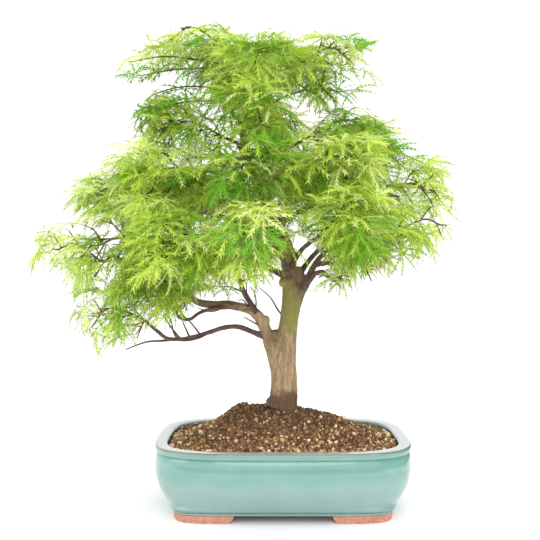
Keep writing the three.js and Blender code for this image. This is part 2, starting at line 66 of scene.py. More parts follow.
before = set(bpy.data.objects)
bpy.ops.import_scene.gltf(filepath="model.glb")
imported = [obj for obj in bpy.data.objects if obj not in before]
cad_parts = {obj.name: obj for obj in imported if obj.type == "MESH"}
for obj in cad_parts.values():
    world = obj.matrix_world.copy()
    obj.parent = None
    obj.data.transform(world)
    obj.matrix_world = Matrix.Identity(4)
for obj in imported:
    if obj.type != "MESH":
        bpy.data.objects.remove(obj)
CAD_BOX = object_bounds()
POT_LOW, POT_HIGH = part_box("pot_body")
POT_X = (POT_LOW.x + POT_HIGH.x) / 2
HALF_WIDTH = (POT_HIGH.x - POT_LOW.x) / 2
HALF_DEPTH = (POT_HIGH.y - POT_LOW.y) / 2
UNDERSIDE = POT_LOW.z
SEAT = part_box("trunk")[0].z
FOLIAGE_NODES, FEET_NODES, BOUGH_NODES = (
    sorted(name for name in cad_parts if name.startswith(start))
    for start in ("foliage_", "pot_foot_", ("bough_", "limb_"))
)
MIDDLE = Vector((POT_X, 0, 0))
UP = Vector((0, 0, 1))

POT_SQUARENESS = 4.05
BASE_SQUARENESS = 8.0
RIM_WIDTH = 0.014
LIP_SETBACK = 0.0015
POT_INSIDE = RIM_WIDTH + LIP_SETBACK

# The soil's mound, and a lump on it.
SOIL_EDGE = 0.080
MOUND_RISE = 0.037
MOUND_HALF_X = 0.124
MOUND_HALF_Y = 0.086
MOUND_POWER = 1.6
LUMP = {"x": -0.052, "y": 0.006, "rise": 0.012, "spread": 0.013}

# The trunk, row by row: height, lean to the right, lean to the back, radius.
TRUNK_ROWS = [
    (SEAT, -0.001, 0.0, 0.0215),
    (0.127, 0.0015, 0.0, 0.018),
    (0.147, 0.002, 0.0, 0.016),
    (0.177, 0.0025, 0.0, 0.0142),
    (0.212, 0.0065, -0.001, 0.0114),
    (0.247, 0.011, -0.002, 0.0116),
    (0.281, 0.0085, -0.002, 0.0094),
    (0.314, 0.0035, 0.0, 0.0084),
    (0.347, -0.012, 0.003, 0.0072),
    (0.389, -0.032, 0.006, 0.006),
    (0.436, -0.047, 0.008, 0.005),
    (0.480, -0.042, 0.008, 0.0038),
    (0.515, -0.027, 0.008, 0.0023),
]
FLARE_RIDGES = 4
FLARE_DEPTH = 0.16
FLARE_HEIGHT = 0.034
FLARE_TURN = 0.5

# The limbs: name, what each springs from, how far along it, its radius at the root and at the tip,
# the pad it feeds, and the points it passes through or only its arch. Here and in the rows of pads,
# knots and side twigs, sizes and places are in millimetres, seen from the pot's centre.
LIMBS = [
    ("limb_left", "trunk", 0.16, 8, 3.2, "low_left",
        (-20, -2, 208), (-34, -5, 232), (-62, -10, 241), (-106, -18, 248)),
    ("bough_low_left", "limb_left", 0.17, 3.1, 1.9, "low_left_bottom",
        (-57, -10, 215.5), (-90, -17, 208), (-132, -24, 201.5)),
    ("bough_left_under", "limb_left", 0.56, 2.2, 1.4, "left_inner",
        (-92, -24, 236), (-108, -34, 226), (-124, -40, 231)),
    ("bough_left_up", "limb_left", 0.3, 3.6, 1.8, "low_left_front", (-46, -16, 258), (-56, -38, 286)),
    ("bough_left_tip", "limb_left", 0.84, 2.6, 1.6, "left_tip", (-168, -8, 278), (-200, -4, 300)),
    ("limb_right", "trunk", 0.34, 4.6, 2.2, "low_right", (33, -6, 278), (50, -6, 303)),
    ("bough_right_under", "limb_right", 0.22, 2.8, 1.5, "right_bottom", (41, -13, 281), (49, -20, 280)),
    ("bough_right_out", "limb_right", 0.45, 2.5, 1.6, "right_tip", (76, 2, 296), (110, 8, 318)),
]
# The boughs that spring from the trunk: the pad, how far along, both radii and the arch.
LIMBS += [
    ("bough_" + pad.removesuffix("_tip"), "trunk", *sizes, pad, arch)
    for pad, *sizes, arch in (
        ("low_back_left", 0.48, 4, 2, 8), ("low_back_right", 0.45, 4, 2, 8), ("low_front", 0.47, 3.6, 1.9, 8),
        ("low_front_right", 0.5, 3.4, 1.9, 8), ("low_back", 0.52, 3.8, 2, 8), ("mid_left", 0.545, 4, 2, 16),
        ("mid_left_front", 0.57, 3.2, 1.8, 8), ("mid_front", 0.595, 3, 1.8, 8),
        ("mid_right_front", 0.62, 3, 1.8, 8), ("mid_right_tip", 0.645, 3.4, 1.8, 14),
        ("mid_back_left", 0.67, 3.2, 1.8, 8), ("mid_back_right", 0.7, 3.2, 1.8, 8),
        ("upper_right", 0.75, 2.8, 1.7, 8), ("upper_left", 0.79, 2.6, 1.6, 8),
        ("upper_back", 0.82, 2.4, 1.6, 8), ("top_right", 0.87, 2.3, 1.6, 8), ("top_left", 0.92, 2.1, 1.5, 8),
    )
]

# The pads: centre and reach, and for some the rise of the stem as a share of the reach and the lift
# of the twigs in degrees.
STEM_RISE = 0.12
PADS = {
    "low_left": (-188, -34, 312, 72),
    "low_left_bottom": (-198, -26, 232, 54),
    "left_inner": (-146, -50, 258, 50),
    "low_left_front": (-106, -104, 314, 70),
    "left_tip": (-252, 2, 308, 58),
    "low_right": (116, -8, 326, 66),
    "right_bottom": (84, -40, 284, 46),
    "right_tip": (173, 10, 338, 58),
    "low_back_left": (-140, 102, 318, 78),
    "low_back_right": (98, 98, 334, 76),
    "low_front": (-24, -132, 322, 68),
    "low_front_right": (60, -105, 334, 68),
    "low_back": (-20, 138, 342, 74),
    "mid_left": (-188, 4, 374, 66),
    "mid_left_front": (-120, -78, 388, 72),
    "mid_front": (-36, -106, 396, 68),
    "mid_right_front": (48, -82, 402, 68),
    "mid_right_tip": (152, 4, 380, 64),
    "mid_back_left": (-118, 88, 404, 78),
    "mid_back_right": (62, 98, 416, 76),
    "upper_right": (76, 4, 458, 62),
    "upper_left": (-112, 2, 456, 60),
    "upper_back": (-24, 90, 480, 70),
    "top_right": (48, 0, 530, 64, 0.3, 16),
    "top_left": (-100, -6, 550, 62, 0.35, 18),
    "upper_front": (-32, -66, 462, 66),
    "top_front": (-30, -52, 512, 60, 0.25, 16),
    "top_back": (-34, 56, 534, 62, 0.3, 16),
}
# The pads that grow straight from the trunk, and how far along it.
TRUNK_PADS = [("upper_front", 0.8), ("top_front", 0.95), ("top_back", 1.0)]

# The growth inside a pad: shares of its reach, and angles in degrees.
ROOT_SHARE = 0.7
ROOT_DROP = 0.2
STEM_RADIUS = 0.0018
TRUNK_STEM_RADIUS = 0.0023
STEM_TIP = 0.0011
STEM_START = 0.0003
STEM_LEAD = 0.008
STEM_REACH = 0.36
TWIG_LENGTH = 0.36
TWIG_ANGLE = 58
TWIG_NODES = [0.1, 0.27, 0.44, 0.61, 0.77, 0.92]
PAIR_STAGGER = 0.015
JITTER = 14
JITTER_UP = 0.5
FIRST_SEED = 1000
SEED_STEP = 77
LENGTH_VARIES = 0.15
LAST_TWIG = 0.4

# The finer growth: spurs in opposite pairs along a twig, and stalks in pairs at their ends.
SPUR_NODES = [0.42, 0.8]
SPUR_LENGTH = 0.2
SPUR_ANGLE = 46
STALK_ANGLE = 42
STALK_RISE = 14
LEAF_TILTS = [-8, -26, 8, -46, 24, -64, -82]
LEAF_SCALES = [1.0, 0.86, 0.74, 0.62]
LEAF_ROLL = 38
# How far a leaf's tilt strays either side of its mean, and how much more it hangs at a pad's foot.
TILT_MEAN = -8
TILT_STRAYS = 24
HANG = 30
# How much twigs, spurs and stalks sag and swing to the side, as shares of their length, and how
# many points their paths have.
TWIG_SAG, TWIG_SWING, TWIG_POINTS = 0.1, 0.12, 6
SPUR_SAG, SPUR_SWING, SPUR_POINTS = 0.15, 0.1, 4
STALK_SAG, STALK_SWING, STALK_POINTS = 0.25, 0.1, 4
# The share of leafless twigs that stay on the tree.
BARE_TWIGS = 0.4
# How far a leaf may reach, as shares of its pad's reach: to the side, above and below, and how
# much that changes from place to place.
LEAF_REACH = (1.6, 0.85, 1.5)
REACH_VARIES = 0.7
REACH_PATCH = 0.032
# How far leaves keep clear of limbs, and how far apart the limbs' points lie on which that is seen.
LIMB_CLEARANCE = 0.0015
WOOD_SPACING = 0.006
# How far leaves may stand proud of the solids' box: at the sides, and at the top.
BOX_MARGIN = 0.006
TOP_MARGIN = 0.002
# The crown's outline as read off the photograph, in its pixels, clockwise from the top.
CROWN_OUTLINE = [
    (204, 15), (216, 18), (222, 34), (240, 42), (262, 38), (280, 29), (300, 22), (318, 24),
    (328, 34), (342, 40), (356, 35), (378, 38), (394, 47), (378, 57), (356, 57), (350, 66),
    (336, 72), (358, 70), (386, 75), (404, 94), (388, 104), (366, 98), (348, 104), (352, 110),
    (368, 110), (370, 120), (382, 128), (406, 132), (430, 146), (448, 155), (464, 169), (444, 177),
    (444, 184), (436, 190), (457, 193), (470, 206), (466, 217), (450, 210), (438, 214), (424, 222),
    (452, 223), (472, 229), (460, 242), (446, 240), (436, 254), (424, 256), (416, 262), (414, 280),
    (404, 270), (394, 266), (390, 276), (380, 284), (366, 288), (362, 274), (350, 284), (344, 304),
    (332, 308), (320, 298), (312, 284), (302, 266), (284, 286), (270, 288), (256, 286), (248, 300),
    (240, 304), (232, 296), (218, 300), (212, 310), (200, 312), (190, 304), (180, 315), (166, 320),
    (160, 330), (150, 342), (136, 350), (126, 358), (112, 352), (100, 362), (92, 350), (86, 338),
    (82, 322), (66, 328), (72, 308), (60, 302), (86, 292), (84, 280), (70, 284), (64, 272),
    (50, 272), (34, 278), (30, 258), (44, 246), (26, 240), (28, 222), (50, 214), (66, 208),
    (74, 204), (68, 196), (80, 184), (92, 178), (90, 168), (64, 158), (92, 150), (118, 150),
    (140, 152), (146, 146), (140, 140), (140, 126), (130, 124), (142, 108), (150, 98), (172, 92),
    (144, 88), (120, 92), (112, 76), (128, 54), (142, 45), (160, 44), (172, 33), (190, 25),
]
# The share of a leaf that has to lie inside that outline.
INSIDE_SHARE = 0.8
# The share of leaves that stay where they stand partly outside it.
EDGE_KEEP = 0.75
# Openings in the crown as read off the photograph, in its pixels: place, half width and half
# height, and the share of leaves that stay. The first that holds a leaf counts.
OPENINGS = [
    (184, 98, 38, 10, 1.0), (352, 97, 42, 9, 1.0), (418, 158, 26, 12, 1.0),
    (291, 251, 22, 46, 0.08), (322, 250, 20, 24, 0.35), (247, 118, 10, 20, 0.15),
    (289, 92, 13, 20, 0.12), (308, 76, 9, 5, 0.2), (206, 120, 18, 9, 0.3), (186, 140, 16, 10, 0.35),
    (180, 232, 7, 9, 0.1), (131, 244, 7, 6, 0.3), (77, 236, 7, 7, 0.2), (98, 195, 5, 7, 0.2),
    (91, 263, 9, 6, 0.2), (109, 270, 9, 6, 0.2), (119, 308, 6, 8, 0.2), (407, 160, 9, 9, 0.25),
    (406, 196, 10, 4, 0.2), (378, 210, 12, 6, 0.25), (430, 212, 10, 8, 0.2), (357, 143, 11, 4, 0.3),
    (218, 288, 8, 5, 0.4), (182, 305, 14, 7, 0.4), (336, 60, 8, 9, 0.2), (300, 108, 12, 8, 0.3),
    (75, 245, 50, 50, 0.32), (110, 318, 50, 40, 0.24), (425, 225, 45, 50, 0.28),
    (382, 274, 42, 20, 0.17), (242, 268, 44, 22, 0.42), (200, 130, 60, 35, 0.36),
    (320, 110, 50, 25, 0.33), (354, 64, 24, 15, 0.3), (298, 86, 18, 14, 0.3),
    (360, 55, 36, 28, 0.5), (440, 180, 30, 22, 0.5), (250, 190, 260, 190, 0.8),
]
# A leaf's lobes: angle from the middle one, length, and how many stretches its blade has.
LOBES = [
    (0, 1.0, 8), (-38, 0.95, 8), (38, 0.95, 8), (-76, 0.8, 6), (76, 0.8, 6), (-114, 0.55, 4), (114, 0.55, 4),
]
LEAF_FORMS = 10
BLADE_HALF_WIDTH = 0.019
TOOTH_LENGTH = 0.16
TOOTH_TAPER = 0.6
TOOTH_ANGLE = 38
TOOTH_ROOT = 0.4
TOOTH_DROP = 0.012
# Where a lobe turns into a toothless thread, and where that thread's last face starts.
THREAD_START = 0.7
THREAD_END = 0.86
LOBE_RISE = 14
LOBE_FALL = -42
# How much a lobe swings and rolls to either side, and how much of its blade's width it loses.
LOBE_SWING = 0.16
LOBE_ROLL = 0.6
BLADE_TAPER = 0.75
# The camera stands where the pot's rim in the photograph says.
CAMERA_SIDE = -0.01504
CAMERA_AWAY = 0.940
CAMERA_HEIGHT = 0.2935
CAMERA_PITCH = 0.64
CAMERA_LENS = 51.67
CAMERA_SENSOR = 36.0
CAMERA_CLIP = (0.05, 30)
# The photograph's pixel that shows the pot's middle at the camera's height, and its pixels per metre
# on the upright plane through the trunk.
PHOTO_MIDDLE = (282.4, 261.4)
PHOTO_SCALE = 824.5


def srgb(red, green, blue):
    """A colour given as it looks on a screen, 0 to 255, as the linear colour that shaders take."""
    shares = [value / 255 for value in (red, green, blue)]
    return tuple(v / 12.92 if v <= 0.04045 else ((v + 0.055) / 1.055) ** 2.4 for v in shares)


def metres(*sizes):
    """Sizes in millimetres as metres."""
    return tuple(size / 1000 for size in sizes)


def colour_property(name, description, colour):
    return FloatVectorProperty(
        name=name, description=description, default=srgb(*colour), subtype="COLOR", size=3, min=0, max=1
    )


def length_property(name, description, length):
    return FloatProperty(
        name=name, description=description, default=length, min=0, unit="LENGTH", precision=5
    )


def amount_property(name, description, amount):
    return FloatProperty(name=name, description=description, default=amount, min=0)


def count_property(name, description, count, least=0):
    return IntProperty(name=name, description=description, default=count, min=least)


class PotSettings(PropertyGroup):
    """Sizes and colours of the pot and its feet."""

    sides: count_property("Sides", "Faces round the pot before smoothing", 112, 24)
    foot_bevel: length_property("Foot Rounding", "Rounding of the feet's edges", 0.0012)
    glaze: colour_property("Glaze", "Celadon glaze on the belly", (116, 160, 149))
    # Painted reflection: the paler glaze below the belly stands for the bright floor mirrored in it.
    lower: colour_property("Lower Glaze", "Paler glaze below the belly", (134, 166, 160))
    # The pooled glaze is real in the grooves, and also darkens the inner wall as painted shade below the rim.
    pooled: colour_property("Pooled Glaze", "Darker glaze in the grooves", (64, 128, 120))
    thin: colour_property("Thin Glaze", "Pale glaze on the rim", (167, 179, 181))
    # The brown of the broken edge and unglazed underside also darkens the inner wall a little, as painted
    # shade.
    broken: colour_property("Broken Edge", "Brown line where the glaze breaks over the edge", (122, 104, 92))
    clay: colour_property("Clay", "Unglazed clay of the feet", (210, 150, 128))


class SoilSettings(PropertyGroup):
    """Sizes and colours of the soil."""

    crumb: length_property("Crumb Size", "Mean radius of a crumb of soil", 0.0014)
    crumbs: count_property("Crumbs", "Number of crumbs on the mound", 8800)
    grit: length_property("Grit Size", "Mean radius of a piece of grit", 0.0017)
    grains: count_property("Grit Pieces", "Number of grit pieces", 760)
    earth: colour_property("Earth", "Soil between the crumbs", (96, 68, 48))
    seed: count_property("Seed", "Start of the random row", 7)


class WoodSettings(PropertyGroup):
    """Sizes and colours of the trunk and boughs."""

    voxel: length_property("Grid", "Grid on which trunk and limbs are fused", 0.00095)
    relief: length_property("Relief", "Depth of the bark's fissures", 0.0006)
    tan: colour_property("Tan Bark", "Bark of the lower trunk", (180, 154, 120))
    olive: colour_property("Olive Bark", "Green bark above the fork", (140, 136, 72))
    stained: colour_property("Stained Bark", "Bark stained by the soil", (94, 70, 53))
    russet: colour_property("Russet Bark", "Bark of the upper trunk", (112, 66, 48))
    bough: colour_property("Bough Bark", "Bark of the boughs", (112, 84, 76))
    twig: colour_property("Twig", "Bark of the twigs", (98, 68, 50))


class FoliageSettings(PropertyGroup):
    """Sizes and colours of the leaves."""

    lobe: length_property("Lobe Length", "Length of a leaf's middle lobe", 0.044)
    stalk: length_property("Stalk Length", "Length of a leaf's stalk", 0.015)
    # The greens are dealt out partly at random and partly as painted light and shade: deeper greens inside
    # and low in the crown, brighter ones towards its outside and top.
    deep: colour_property("Deep Green", "Oldest, shaded leaves", (96, 126, 42))
    mid: colour_property("Mid Green", "Leaves inside the crown", (122, 184, 48))
    fresh: colour_property("Fresh Green", "Most of the leaves", (184, 214, 72))
    bright: colour_property("Bright Green", "Young leaves on the outside", (208, 232, 96))
    pale: colour_property("Pale Green", "Palest young leaves", (230, 242, 152))
    tip: colour_property("Tip Colour", "Thread-thin tips of the lobes", (122, 124, 60))
    stem: colour_property("Stalk Colour", "Stalks of the leaves", (150, 168, 62))


class StageSettings(PropertyGroup):
    """Floor, lamps and camera."""

    floor: length_property("Floor Size", "Side of the floor", 9.0)
    floor_colour: colour_property("Floor Colour", "Plain pale floor", (250, 250, 252))
    key_power: amount_property("Key Power", "Watts of the soft lamp on the right", 7.0)
    fill_power: amount_property("Fill Power", "Watts of the soft lamp on the left", 8.0)
    top_power: amount_property("Top Power", "Watts of the lamp above", 9.0)
    front_power: amount_property("Front Power", "Watts of the lamp before the plant", 8.0)
    sky: amount_property("Surround", "Brightness of the white surround", 1.25)
    distance: length_property("Camera Distance", "From the pot's centre", CAMERA_AWAY)
    lens: amount_property("Lens", "Focal length in millimetres", CAMERA_LENS)


class MapleSettings(PropertyGroup):
    """All settings of the plant."""

    pot: PointerProperty(type=PotSettings, name="Pot", description="Pot and feet")
    soil: PointerProperty(type=SoilSettings, name="Soil", description="Soil and grit")
    wood: PointerProperty(type=WoodSettings, name="Wood", description="Trunk and boughs")
    foliage: PointerProperty(type=FoliageSettings, name="Foliage", description="Twigs and leaves")
    stage: PointerProperty(type=StageSettings, name="Stage", description="Floor, lamps and camera")


# Small helpers


def seeded(seed):
    """A repeatable row of numbers from 0 to 1."""
    state = seed

    def draw():
        nonlocal state
        state = (state * 1664525 + 1013904223) % 4294967296
        return state / 4294967296

    return draw


def clamp(value, low=0.0, high=1.0):
    return max(low, min(high, value))


def smoothstep(low, high, value):
    share = clamp((value - low) / (high - low))
    return share * share * (3 - 2 * share)


def drawn_out(point, size, tall):
    """A point in units of a size to the sides and another one upwards."""
    return Vector((point.x / size, point.y / size, point.z / tall))


def show(mesh, materials, nodes):
    """Puts a finished mesh in the scene, in place of the nodes that it stands for."""
    for material in materials:
        mesh.materials.append(material)
    piece = bpy.data.objects.new(mesh.name, mesh)
    bpy.context.scene.collection.objects.link(piece)
    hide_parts(*nodes)
    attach(piece, "root")
    return piece


def mesh_from(bm, name):
    """A mesh from a bmesh whose faces are turned outwards."""
    bmesh.ops.recalc_face_normals(bm, faces=bm.faces)
    mesh = bpy.data.meshes.new(name)
    bm.to_mesh(mesh)
    bm.free()
    return mesh


def mesh_from_arrays(name, corners, loops, sizes, tones=None):
    """A joined mesh from arrays: corners, the corner numbers of all faces, and each face's size."""
    mesh = bpy.data.meshes.new(name)
    mesh.vertices.add(len(corners))
    mesh.vertices.foreach_set("co", np.asarray(corners, np.float32).ravel())
    mesh.loops.add(len(loops))
    mesh.loops.foreach_set("vertex_index", np.asarray(loops, np.int32))
    mesh.polygons.add(len(sizes))
    starts = np.concatenate([[0], np.cumsum(sizes)[:-1]])
    mesh.polygons.foreach_set("loop_start", starts.astype(np.int32))
    if tones is not None:
        mesh.polygons.foreach_set("material_index", np.asarray(tones, np.int32))
    mesh.update(calc_edges=True)
    if mesh.validate():
        raise RuntimeError(f"{name} had faces that aren't valid")
    return mesh


def copied(faces, count, corners):
    """The corner numbers of faces for each of several copies of a shape with so many corners."""
    return (faces[None] + (np.arange(count) * corners)[:, None, None]).reshape(-1, faces.shape[1])


def mesh_of_triangles(name, corners, triangles, tones=None):
    """A joined mesh of triangles."""
    return mesh_from_arrays(name, corners, triangles.ravel(), np.full(len(triangles), 3), tones)


def edges_in(parts):
    return [part for part in parts if isinstance(part, bmesh.types.BMEdge)]


def loft(bm, count, rows, place):
    """Draws a closed ring of corners out row by row. place(row, corner) says where each corner goes."""
    index = bm.verts.layers.int.get("corner") or bm.verts.layers.int.new("corner")
    number = bm.verts.layers.int.get("row") or bm.verts.layers.int.new("row")
    ring = bmesh.ops.create_circle(bm, cap_ends=False, radius=1.0, segments=count)["verts"]
    for corner, vert in enumerate(ring):
        vert[index] = corner
        vert.co = place(0, corner)
    edges = list({edge for vert in ring for edge in vert.link_edges})
    bmesh.ops.contextual_create(bm, geom=edges)
    for row in range(1, rows):
        grown = bmesh.ops.extrude_edge_only(bm, edges=edges)["geom"]
        ring = {part for part in grown if isinstance(part, bmesh.types.BMVert)}
        for vert in ring:
            vert.co = place(row, vert[index])
            vert[number] = row
        edges = [part for part in edges_in(grown) if ring.issuperset(part.verts)]
    bmesh.ops.contextual_create(bm, geom=edges)


# Materials


def put(tree, socket, value):
    """Joins a socket to another one, or sets its value."""
    if isinstance(value, bpy.types.NodeSocket):
        tree.links.new(value, socket)
    elif socket.type == "RGBA":
        socket.default_value = (*value, 1.0)
    else:
        socket.default_value = value


def add_node(tree, kind, values=None, **options):
    """Adds a node, sets its options and fills or joins its inputs."""
    made = tree.nodes.new(kind)
    for key, value in options.items():
        setattr(made, key, value)
    for key, value in (values or {}).items():
        put(tree, made.inputs[key], value)
    return made


def blended(tree, factor, first, second):
    """A socket of two colours mixed by a factor."""
    mix = add_node(tree, "ShaderNodeMix", {"Factor": factor}, data_type="RGBA")
    colours = [socket for socket in mix.inputs if socket.type == "RGBA"]
    put(tree, colours[0], first)
    put(tree, colours[1], second)
    return next(socket for socket in mix.outputs if socket.type == "RGBA")


def noise_group(name, result, inputs, detail, roughness, finish):
    """A shader node group around a noise in the object's own space. finish gives its one result."""
    found = bpy.data.node_groups.get(name)
    if found:
        return found
    group = bpy.data.node_groups.new(name, "ShaderNodeTree")
    for label, kind, default in [*inputs, ("Scale", "Float", 100.0), ("Stretch", "Vector", (1.0, 1.0, 1.0))]:
        socket = group.interface.new_socket(label, in_out="INPUT", socket_type="NodeSocket" + kind)
        socket.default_value = default
    group.interface.new_socket(result[0], in_out="OUTPUT", socket_type="NodeSocket" + result[1])
    given = add_node(group, "NodeGroupInput").outputs
    place = add_node(group, "ShaderNodeTexCoord").outputs["Object"]
    mapping = add_node(group, "ShaderNodeMapping", {"Vector": place, "Scale": given["Stretch"]})
    mapped = mapping.outputs["Vector"]
    values = {"Vector": mapped, "Scale": given["Scale"], "Detail": detail, "Roughness": roughness}
    spots = add_node(group, "ShaderNodeTexNoise", values).outputs["Fac"]
    add_node(group, "NodeGroupOutput", {result[0]: finish(group, given, spots)})
    return group


def mixed_by(group, given, spots):
    """The mottle's colour: its first colour, and its second where the noise is high."""
    values = {"Value": spots, "From Min": 0.35, "From Max": 0.65, "To Max": given["Amount"]}
    mask = add_node(group, "ShaderNodeMapRange", values).outputs["Result"]
    return blended(group, mask, given["First"], given["Second"])


def mottled(tree, first, second, scale, amount=1.0, stretch=(1.0, 1.0, 1.0)):
    """The colour socket of a mottle between two colours, each a colour or a socket."""
    grey = ("Color", (0.5, 0.5, 0.5, 1))
    inputs = [("First", *grey), ("Second", *grey), ("Amount", "Float", 1.0)]
    group = noise_group("Mottle", ("Colour", "Color"), inputs, 4.0, 0.6, mixed_by)
    values = {"First": first, "Second": second, "Scale": scale, "Amount": amount, "Stretch": stretch}
    return add_node(tree, "ShaderNodeGroup", values, node_tree=group).outputs["Colour"]


def grained(tree, scale, strength, distance, stretch=(1.0, 1.0, 1.0)):
    """The normal of a surface with grain."""
    group = noise_group("Grain", ("Height", "Float"), [], 5.0, 0.62, lambda group, given, spots: spots)
    made = add_node(tree, "ShaderNodeGroup", {"Scale": scale, "Stretch": stretch}, node_tree=group)
    values = {"Height": made.outputs["Height"], "Strength": strength, "Distance": distance}
    return add_node(tree, "ShaderNodeBump", values).outputs["Normal"]


def darker(colour, share):
    return tuple(share * c for c in colour)


def spotted(colour, share, scale):
    """Paints a surface in a colour mottled with a darker shade of itself."""
    return lambda tree: mottled(tree, colour, darker(colour, share), scale)


def attribute(tree, name, output="Fac"):
    return add_node(tree, "ShaderNodeAttribute", attribute_name=name).outputs[output]


def surface(name, paint, roughness, specular=0.5, grain=None, crevice=None, extra=None):
    """A material: paint(tree) gives its colour, crevice is the colour in its cracks, and grain the
    scale, strength, depth and stretch of its relief."""
    material = bpy.data.materials.new(name)
    material.use_nodes = True
    tree = material.node_tree
    tree.nodes.clear()
    colour = paint(tree)
    if crevice:
        colour = blended(tree, attribute(tree, "crevice"), colour, crevice)
    values = {"Base Color": colour, "Roughness": roughness, "Specular IOR Level": specular, **(extra or {})}
    if grain:
        values["Normal"] = grained(tree, *grain)
    shader = add_node(tree, "ShaderNodeBsdfPrincipled", values)
    add_node(tree, "ShaderNodeOutputMaterial", {"Surface": shader.outputs["BSDF"]})
    return material


def glaze_material(settings):
    """Celadon glaze: pale on the rim, darker in the grooves, broken to brown on the edge, with painted shade
    on the inner wall and a painted reflection of the floor on the lower belly.
    """

    def paint(tree):
        colour = spotted(settings.glaze, 0.9, 38.0)(tree)
        for layer, other, share, scale in (
            # Painted reflection: the pale layer paints the floor's reflection on the lower belly.
            ("pale", settings.lower, 0.93, 30.0),
            # Pooled glaze: real in the grooves, painted shade on the inner wall.
            ("pooled", settings.pooled, 0.72, 150.0),
            ("thin", settings.thin, 0.93, 60.0),
            # Brown: the broken edge and the unglazed underside, and painted shade on the inner wall.
            ("broken", settings.broken, 0.7, 180.0),
        ):
            colour = blended(tree, attribute(tree, layer), colour, spotted(other, share, scale)(tree))
        return colour

    coat = {"IOR": 1.5, "Coat Weight": 0.5, "Coat Roughness": 0.04}
    return surface("Celadon Glaze", paint, roughness=0.12, grain=(60.0, 0.12, 0.0006), extra=coat)


def clay_material(settings):
    """Unglazed terracotta with fine pits."""
    paint = spotted(settings.clay, 0.62, 230.0)
    return surface("Unglazed Clay", paint, roughness=0.88, grain=(900.0, 0.55, 0.0004))


def grain_material(name, colour, share=0.62):
    """A crumb's or stone's rough surface."""
    paint = spotted(colour, share, 420.0)
    return surface(name, paint, roughness=0.95, specular=0.25, grain=(1400.0, 0.6, 0.0004))


def bark_material(settings):
    """Bark whose colour is dealt out by place on the wood, with fine flecks and dark fissures."""

    def paint(tree):
        tint = attribute(tree, "tint", "Color")
        return mottled(tree, tint, darker(settings.tan, 0.55), 260.0, 0.3, (1.0, 1.0, 0.25))

    grain = (900.0, 0.8, 0.0007, (1.0, 1.0, 0.18))
    return surface("Trunk Bark", paint, roughness=0.85, specular=0.3, grain=grain, crevice=srgb(66, 50, 36))


LIGHT_THROUGH = 0.4


def leaf_material(name, colour):
    """A thin leaf: light passes through it as well as being turned back."""
    material = surface(name, spotted(colour, 0.86, 55.0), roughness=0.5, specular=0.35)
    tree = material.node_tree
    shader = tree.nodes["Principled BSDF"]
    green = shader.inputs["Base Color"].links[0].from_socket
    through = add_node(tree, "ShaderNodeBsdfTranslucent", {"Color": green})
    values = {"Fac": LIGHT_THROUGH, 1: shader.outputs["BSDF"], 2: through.outputs["BSDF"]}
    both = add_node(tree, "ShaderNodeMixShader", values)
    put(tree, tree.nodes["Material Output"].inputs["Surface"], both.outputs["Shader"])
    return material


def plain_bark(name, colour):
    """Bark of twigs and stalks."""
    return surface(name, spotted(colour, 0.7, 90.0), roughness=0.6)


# Pot


def outline(angle, inset, share=1.0, squareness=POT_SQUARENESS):
    """The pot's squared ellipse, drawn in by an inset, seen from its centre at an angle."""
    half = HALF_WIDTH - inset, HALF_DEPTH - inset
    c, s = math.cos(angle), math.sin(angle)
    away = (abs(c / half[0]) ** squareness + abs(s / half[1]) ** squareness) ** (-1 / squareness)
    return POT_X + share * away * c, share * away * s


@functools.lru_cache
def even_angles(count):
    """Angles whose points stand evenly spaced round the pot's outline."""
    fine = np.linspace(0, 2 * math.pi, 3601)
    points = np.array([outline(angle, 0.0) for angle in fine])
    walked = np.concatenate([[0], np.cumsum(np.linalg.norm(np.diff(points, axis=0), axis=1))])
    return np.interp(np.arange(count) * walked[-1] / count, walked, fine)


# Each row of the pot: inset from the outline and height in millimetres, then how much its glaze is
# pooled, thin and broken to brown. The inner wall's rows take the dark pooled glaze and some brown as
# painted shade below the rim.
BOTTOM = 1000 * UNDERSIDE
POT_ROWS = [
    (60, BOTTOM, 0, 0, 1), (26, BOTTOM, 0, 0, 1), (23.6, BOTTOM, 0, 0.4, 0.6), (22.6, 9.6, 0, 0.9),
    (21.8, 10.8, 0.1, 0.5), (21.4, 12, 0.8), (21, 13, 0.9), (19.8, 14.2, 0.4),
    (17.6, 16.2, 0.1, 0.1), (15, 19), (11.5, 23), (8.5, 27.5), (5.7, 32.5), (3.5, 38), (1.8, 44.5),
    (0.6, 51), (0.1, 57), (0, 63), (0.3, 68.5), (0.8, 72, 0.05), (1.4, 73.8, 0.15, 0.05),
    (2, 75, 0.5), (2.1, 75.6, 0.55), (1.4, 76.4, 0.35), (0.5, 77.2, 0.1, 0.1),
    (0.2, 78.2, 0.05, 0.1), (0, 80), (0.1, 81.6, 0, 0.1), (0.3, 82.6, 0, 0.2, 0.6),
    (0.8, 83.4, 0, 0.2, 1), (1.5, 83.8, 0, 0.8, 0.35), (2.6, 84, 0, 1), (6, 83.9, 0, 1),
    (10, 83.8, 0, 1), (12.6, 83.6, 0, 1), (13.7, 83, 0, 0.9, 0.1), (14.2, 82.2, 0.3, 0.3, 0.2),
    # The inner wall's rows: their pooled glaze and brown are painted shade below the rim.
    (15, 80.6, 1, 0, 0.2), (14.8, 78, 1, 0, 0.3), (14.2, 72, 1, 0, 0.3), (14.2, 64, 1, 0, 0.3),
]
POT_ROWS = [(*metres(*row[:2]), *row[2:], 0, 0, 0)[:5] for row in POT_ROWS]
# Below this height, give or take the wave, the belly's glaze is paler: a painted reflection of the bright
# floor.
FLOOR_REFLECTION_HEIGHT = 0.051
FLOOR_REFLECTION_WAVE = 0.0035


def squareness_at(height):
    """How square the pot is at a height: its base has tighter corners than its rim."""
    return float(np.interp(height, (0.0135, 0.019, 0.030), (BASE_SQUARENESS, 4.3, POT_SQUARENESS)))


def pot_corner(angle, row):
    inset, height = POT_ROWS[row][:2]
    return Vector((*outline(angle, inset, 1.0, squareness_at(height)), height))


